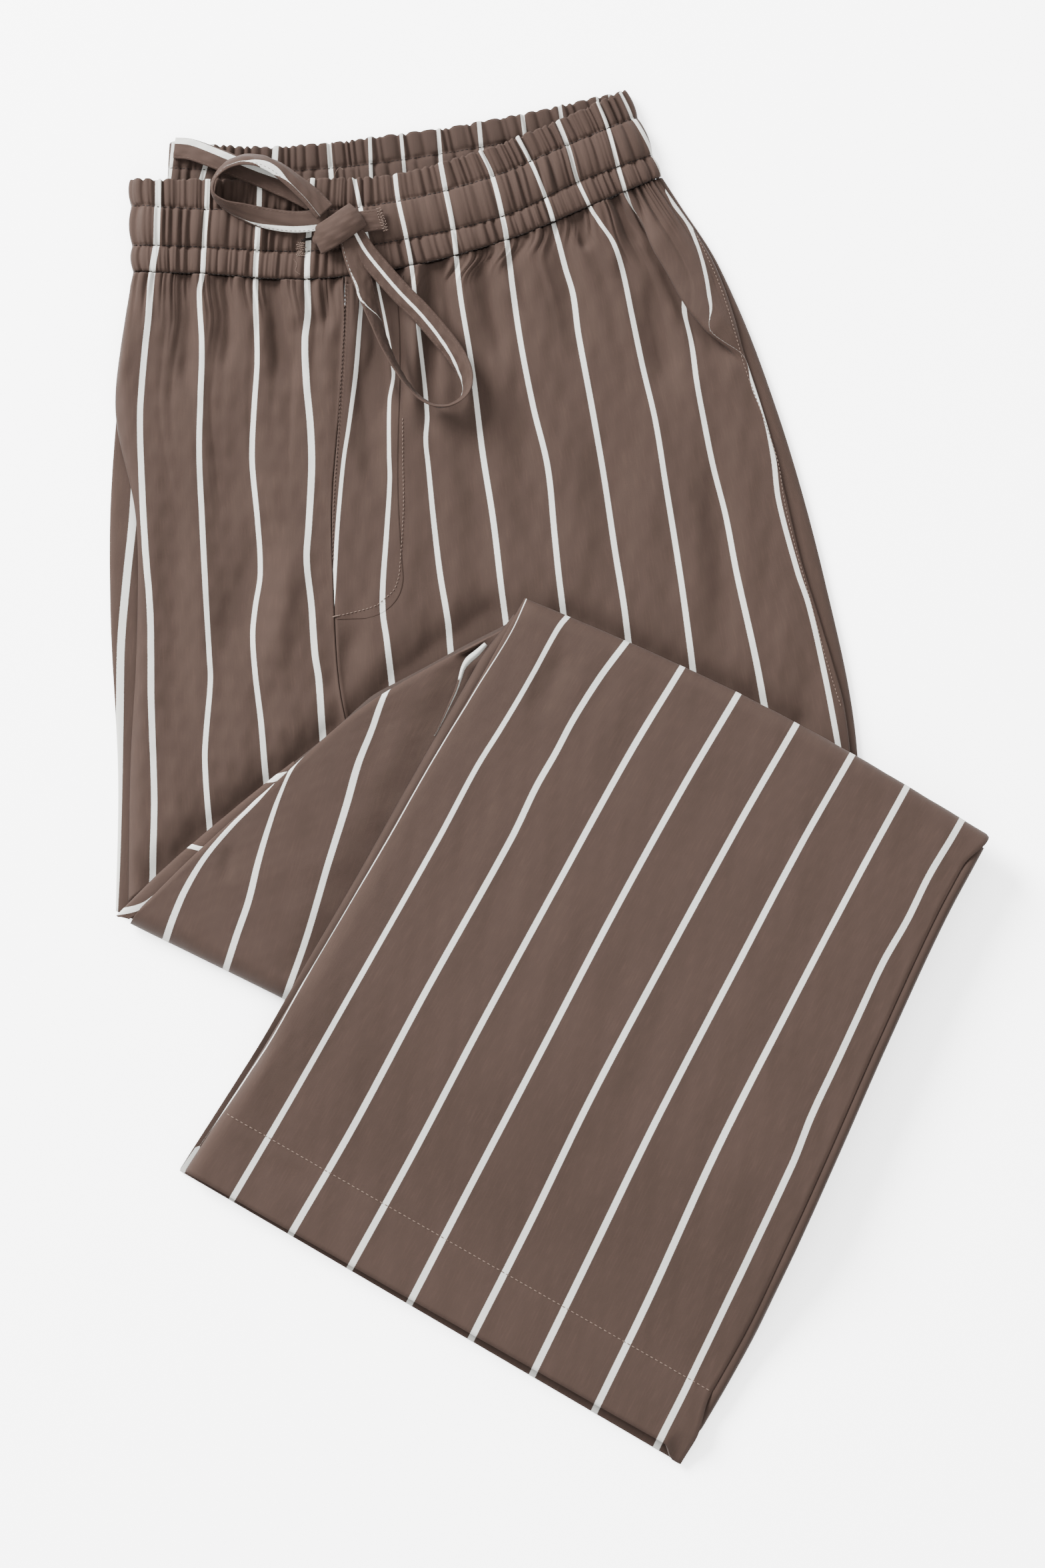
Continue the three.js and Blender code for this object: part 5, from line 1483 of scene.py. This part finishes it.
def makeHiddenLayers():
    def level(height):
        return lambda x, y: height + 0 * x

    def hemSlope(x, y):
        return mix(19.2, 5.2, (pastLowerFold(x, y) + 45) / 135)

    blocks = [
        layeredBlock(bodyOutline, 1.4, level(2.4), 1, 101),
        layeredBlock(middleOutline(), 7.4, level(9), 1, 111),
        layeredBlock(flapOutline(0.02, 0.5, 18, 6, fromTop=6), 8.4, level(legs["underLevel"] - 1.8), 3, 121),
        layeredBlock(flapOutline(0.03, 0.56, 15, 14, fromTop=7), 15, level(legs["flapLevel"] - 2), 3, 131),
        layeredBlock(flapOutline(0.54, 0.97, 15, 14), 1.4, hemSlope, 3, 141),
    ]
    vertices = []
    faces = []
    for points, sides in blocks:
        start = sum(len(v) for v in vertices)
        vertices.append(points)
        faces += [[i + start for i in side] for side in sides]
    everyPoint = np.vstack(vertices)
    # in the darker plain cloth: painted shade on the layers' edges
    piece = addPiece("layers", everyPoint, faces, clothHiddenShaded, everyPoint[:, [0, 2]])
    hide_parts("hidden_layers")


makeHiddenLayers()
print("hidden layers made")

# Drawstring: a flat strip, its place, height and how far it stands on its edge, in degrees
tie = {"width": 11.5, "wall": 1.2}
tieRoutes = {
    "left_loop": {
        "px": [488, 466, 438, 408, 376, 346, 325, 320, 336, 366, 402, 446, 492],
        "py": [318, 294, 270, 249, 240, 246, 265, 289, 306, 318, 328, 333, 328],
        "z": [19.4, 20.2, 20.6, 20.6, 20.2, 19.2, 17.8, 16.6, 16.2, 16, 15.8, 16.2, 17.2],
        "lean": [8, 22, 36, 48, 56, 64, 78, 86, 74, 46, 20, 8, 4],
        "cup": [0.6, 1.2, 2, 2.4, 2.2, 1.6, 1, 0.6, 0.6, 0.7, 0.8, 0.8, 0.5],
        "stripe": [-3.8, -3.8, -3.8, -4, -4.2, -4.2, -4.2, 4.2, 4.2, 4.2, 4.2, 4, 4],
        "show": [0, 0, 0.1, 1.3, 0.2, 0, 0, 0, 0, 0, 0.7, 1, 0.8],
    },
    "tail": {
        "px": [470, 446, 418, 385, 350, 315, 285, 262],
        "py": [302, 289, 276, 262, 248, 234, 224, 222],
        "z": [15, 14.6, 13.8, 13, 12.2, 10.2, 7.4, 5.2],
        "lean": [0, 0, 0, 0, 0, 0, 0, 0],
        "cup": [0.3, 0.3, 0.4, 0.5, 0.6, 0.6, 0.5, 0.3],
        "stripe": [3.6, 3.6, 3.4, 3.2, 3.2, 3.4, 3.8, 4],
        "show": [0, 0, 0.6, 1, 1, 1, 1, 1],
    },
    "right_loop": {
        "px": [530, 548, 575, 602, 632, 660, 684, 699, 700, 688, 667, 644, 620, 597, 579, 566, 554, 545,
               534, 524],
        "py": [350, 378, 410, 440, 470, 502, 533, 562, 586, 602, 610, 606, 588, 556, 522, 488, 454, 424,
               392, 356],
        "z": [17, 16.4, 15.6, 15, 14.6, 14.6, 15, 15.6, 16, 16.2, 16.2, 16, 15.6, 15.2, 15, 15, 15.2, 15.6,
              16.4, 17.2],
        "lean": [2, 4, 6, 8, 10, 14, 26, 48, 70, 82, 86, 84, 80, 76, 68, 58, 44, 26, 10, 4],
        "cup": [0.3, 0.4, 0.6, 0.7, 0.8, 0.8, 0.8, 0.7, 0.6, 0.5, 0.5, 0.5, 0.6, 0.7, 0.8, 0.8, 0.7, 0.6,
                0.4, 0.3],
        "stripe": [-1, -0.4, 0, 0.2, 0.4, 0.9, 2, 3.6, 4.4, 4.6, 4.8, 4.8, 4.8, 4.8, 4.8, 4.8, -4.6, -4.8,
                   -4.8, -4.8],
        "show": [0.5, 0.5, 0.5, 0.5, 0.5, 0.5, 0.5, 0.5, 0.3, 0, 0, 0, 0, 0, 0, 0, 0.3, 0.3, 0, 0],
    },
    "stub": {"px": [530, 548, 564, 576], "py": [334, 332, 330, 329], "z": [17, 16, 15, 14.6],
             "lean": [0, 0, 0, 0], "cup": [0.5, 0.4, 0.3, 0.2], "stripe": [9] * 4, "show": [0] * 4},
    "wrap": {"px": [537, 526, 512, 497, 484, 476], "py": [322, 329, 339, 349, 357, 361],
             "z": [17.4, 20.6, 21.4, 20.2, 17.4, 14.8],
             "lean": [0] * 6, "cup": [1.6, 2.2, 2.4, 2.2, 1.6, 0.8], "stripe": [9] * 6, "show": [0] * 6},
}
tieCloth = makeCloth("tieCloth", pitch=1.0, width=0.0034)


def makeTie(name, node, route, width=11.5, stitched=(2, -3)):
    # cloth strip: its section is an arc, raised in the middle by cup and turned on its edge by lean
    placeX, placeY = spot(route["px"], route["py"], np.array(route["z"], float))
    points = np.column_stack([placeX, placeY, route["z"]])
    count = (len(points) - 1) * 12
    centre = curveThrough(points, count)
    share = np.linspace(0, 1, count)
    table = {"at": np.linspace(0, 1, len(points)), **route}
    across = np.linspace(1, -1, 25)
    cups = read(table, "cup", share)[:, None] * (1 - across[None] ** 2)
    tangent = np.gradient(centre, axis=0)
    tangent /= np.linalg.norm(tangent, axis=1, keepdims=True)
    flatWay = np.column_stack([tangent[:, 1], -tangent[:, 0], np.zeros(count)])
    flatWay /= np.linalg.norm(flatWay, axis=1, keepdims=True)
    turn = np.radians(read(table, "lean", share))[:, None]
    wide = flatWay * np.cos(turn) + np.cross(tangent, flatWay) * np.sin(turn)
    normal = np.cross(wide, tangent)
    length = np.concatenate([[0], np.cumsum(np.linalg.norm(np.diff(centre, axis=0), axis=1))])
    edge = shoulder(1 - np.abs(across), 0.16)
    groove = -0.18 * np.exp(-(((np.abs(across) - 0.8) / 0.06) ** 2))
    ripple = 0.22 * wander(length[:, None], across[None] * width, 7, len(name)) * edge
    half = tie["wall"] / 2 * mix(0.35, 1, edge) + groove
    middlePoints = centre[:, None] + wide[:, None] * across[None, :, None] * width / 2
    outer = middlePoints + normal[:, None] * (half + ripple + cups)[..., None]
    inner = middlePoints - normal[:, None] * (half - ripple - cups)[..., None]
    fromStripe = across[None] * width / 2 - read(table, "stripe", share)[:, None]
    fabric = np.stack(np.broadcast_arrays(fromStripe, length[:, None]), axis=-1)
    shown = np.broadcast_to(np.maximum(0, read(table, "show", share))[:, None], outer.shape[:2])
    piece = addCloth(name, outer, inner, tieCloth, fabric, shown)
    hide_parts(node)
    for side in stitched:
        addStitches(name + ("_stitches_a" if side > 0 else "_stitches_b"), outer[:, side] + normal * 0.03,
                    brownThread, {"pitch": 2.4, "long": 1.6, "thick": 0.3}, normal)


makeTie("loop_left", "tie_left_loop", tieRoutes["left_loop"])
makeTie("tail", "tie_tail", tieRoutes["tail"], stitched=(-3,))
makeTie("loop_right", "tie_right_loop", tieRoutes["right_loop"])
makeTie("stub", "tie_end", tieRoutes["stub"])
makeTie("wrap", "tie_knot", tieRoutes["wrap"], 15.5, ())


def makeRoot():
    # where the drawstring comes out of the waistband, under the knot: a low mound of cloth
    size = {"px": 492, "py": 352, "z": 14.2, "long": 9, "wide": 5, "high": 2.6, "turn": 24}
    u, v = grid(np.linspace(0, 2 * np.pi, 49)[:-1], np.linspace(0.02, np.pi - 0.02, 30))
    along = size["long"] * np.cos(v)
    side = size["wide"] * np.sin(v) * np.cos(u)
    turn = np.radians(size["turn"])
    placeX, placeY = spot(size["px"], size["py"], size["z"])
    x = placeX + along * np.cos(turn) - side * np.sin(turn)
    y = placeY + along * np.sin(turn) + side * np.cos(turn)
    z = size["z"] + size["high"] * np.sin(v) * np.sin(u)
    vertices = np.stack([x, y, z], axis=-1).reshape(-1, 3)
    index = np.arange(u.size).reshape(u.shape)
    right = np.roll(index, -1, axis=1)
    sides = np.stack([index[:-1], index[1:], right[1:], right[:-1]], axis=-1).reshape(-1, 4).tolist()
    sides.append(index[0].tolist())
    sides.append(index[-1][::-1].tolist())
    piece = addPiece("root", vertices, sides, tieCloth, np.stack([side, along], -1).reshape(-1, 2) + [30, 0])
    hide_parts("tie_root")


def makeTieDetails():
    # zigzag on the short end, the frayed bar of the hole the drawstring comes out of, and two loose threads
    zigzag = {"pitch": 1.5, "long": 1.45, "thick": 0.32}
    step = np.arange(18)
    endX, endY = spot(np.where(step % 2, 564, 572) + 0.62 * step, 311 + 2.1 * step, 15.9)
    addStitches("end_stitches", np.column_stack([endX, endY, 0 * endX + 15.9]), tanThread, zigzag)
    rng = np.random.default_rng(23)
    bar = [(446 + 11 * (k % 2) + rng.uniform(-2, 2), 363 + 1.5 * k) for k in range(15)]
    stitchLine("hole_bar", "band_front", bar, tanThread, {"pitch": 1.3, "long": 1.25, "thick": 0.4}, 0.5)
    hole = [(452, 361), (462, 358), (472, 358), (480, 362)]
    stitchLine("hole_edge", "band_front", hole, darkThread, {"pitch": 0.8, "long": 0.9, "thick": 1.5}, 0.2)
    loose = {"pitch": 1.0, "long": 1.05, "thick": 0.22}
    stitchLine("thread_a", "band_front", [(500, 268), (503, 258), (509, 251), (515, 254)], tanThread, loose,
               0.6)
    stitchLine("thread_b", "band_front", [(440, 388), (446, 396), (443, 405), (450, 411)], tanThread, loose,
               0.5)


makeRoot()
makeTieDetails()
print("drawstring made")


# Light and floor
def makeFloor():
    mesh = bpy.data.meshes.new("floor")
    half = 3.0
    mesh.from_pydata([(-half, -half, 0), (half, -half, 0), (half, half, 0), (-half, half, 0)], [],
                     [(0, 1, 2, 3)])
    floor = bpy.data.objects.new("floor", mesh)
    bpy.context.scene.collection.objects.link(floor)
    material = bpy.data.materials.new("paper")
    material.use_nodes = True
    shader = material.node_tree.nodes["Principled BSDF"]
    shader.inputs["Base Color"].default_value = (0.97, 0.97, 0.97, 1)
    shader.inputs["Roughness"].default_value = 0.9
    shader.inputs["Emission Color"].default_value = (1, 1, 1, 1)
    shader.inputs["Emission Strength"].default_value = 0.9
    mesh.materials.append(material)
    floor.location.z = -0.0004


def makeLight(name, place, target, size, power):
    light = bpy.data.objects.new(name, bpy.data.lights.new(name, "AREA"))
    light.data.shape = "DISK"
    light.data.size = size
    light.data.energy = power
    light.location = place
    direction = np.array(target, float) - np.array(place, float)
    light.rotation_euler = Vector(direction).to_track_quat("-Z", "Y").to_euler()
    bpy.context.scene.collection.objects.link(light)


makeFloor()
makeLight("key", (-3.1, 3.0, 2.35), (0, 0, 0), 2.4, 1700)
makeLight("fill", (0.9, -0.6, 2.2), (0, 0, 0), 1.8, 10)
world = bpy.data.worlds.new("studio")
bpy.context.scene.world = world
world.use_nodes = True
world.node_tree.nodes["Background"].inputs["Color"].default_value = (1, 1, 1, 1)
world.node_tree.nodes["Background"].inputs["Strength"].default_value = 3.2
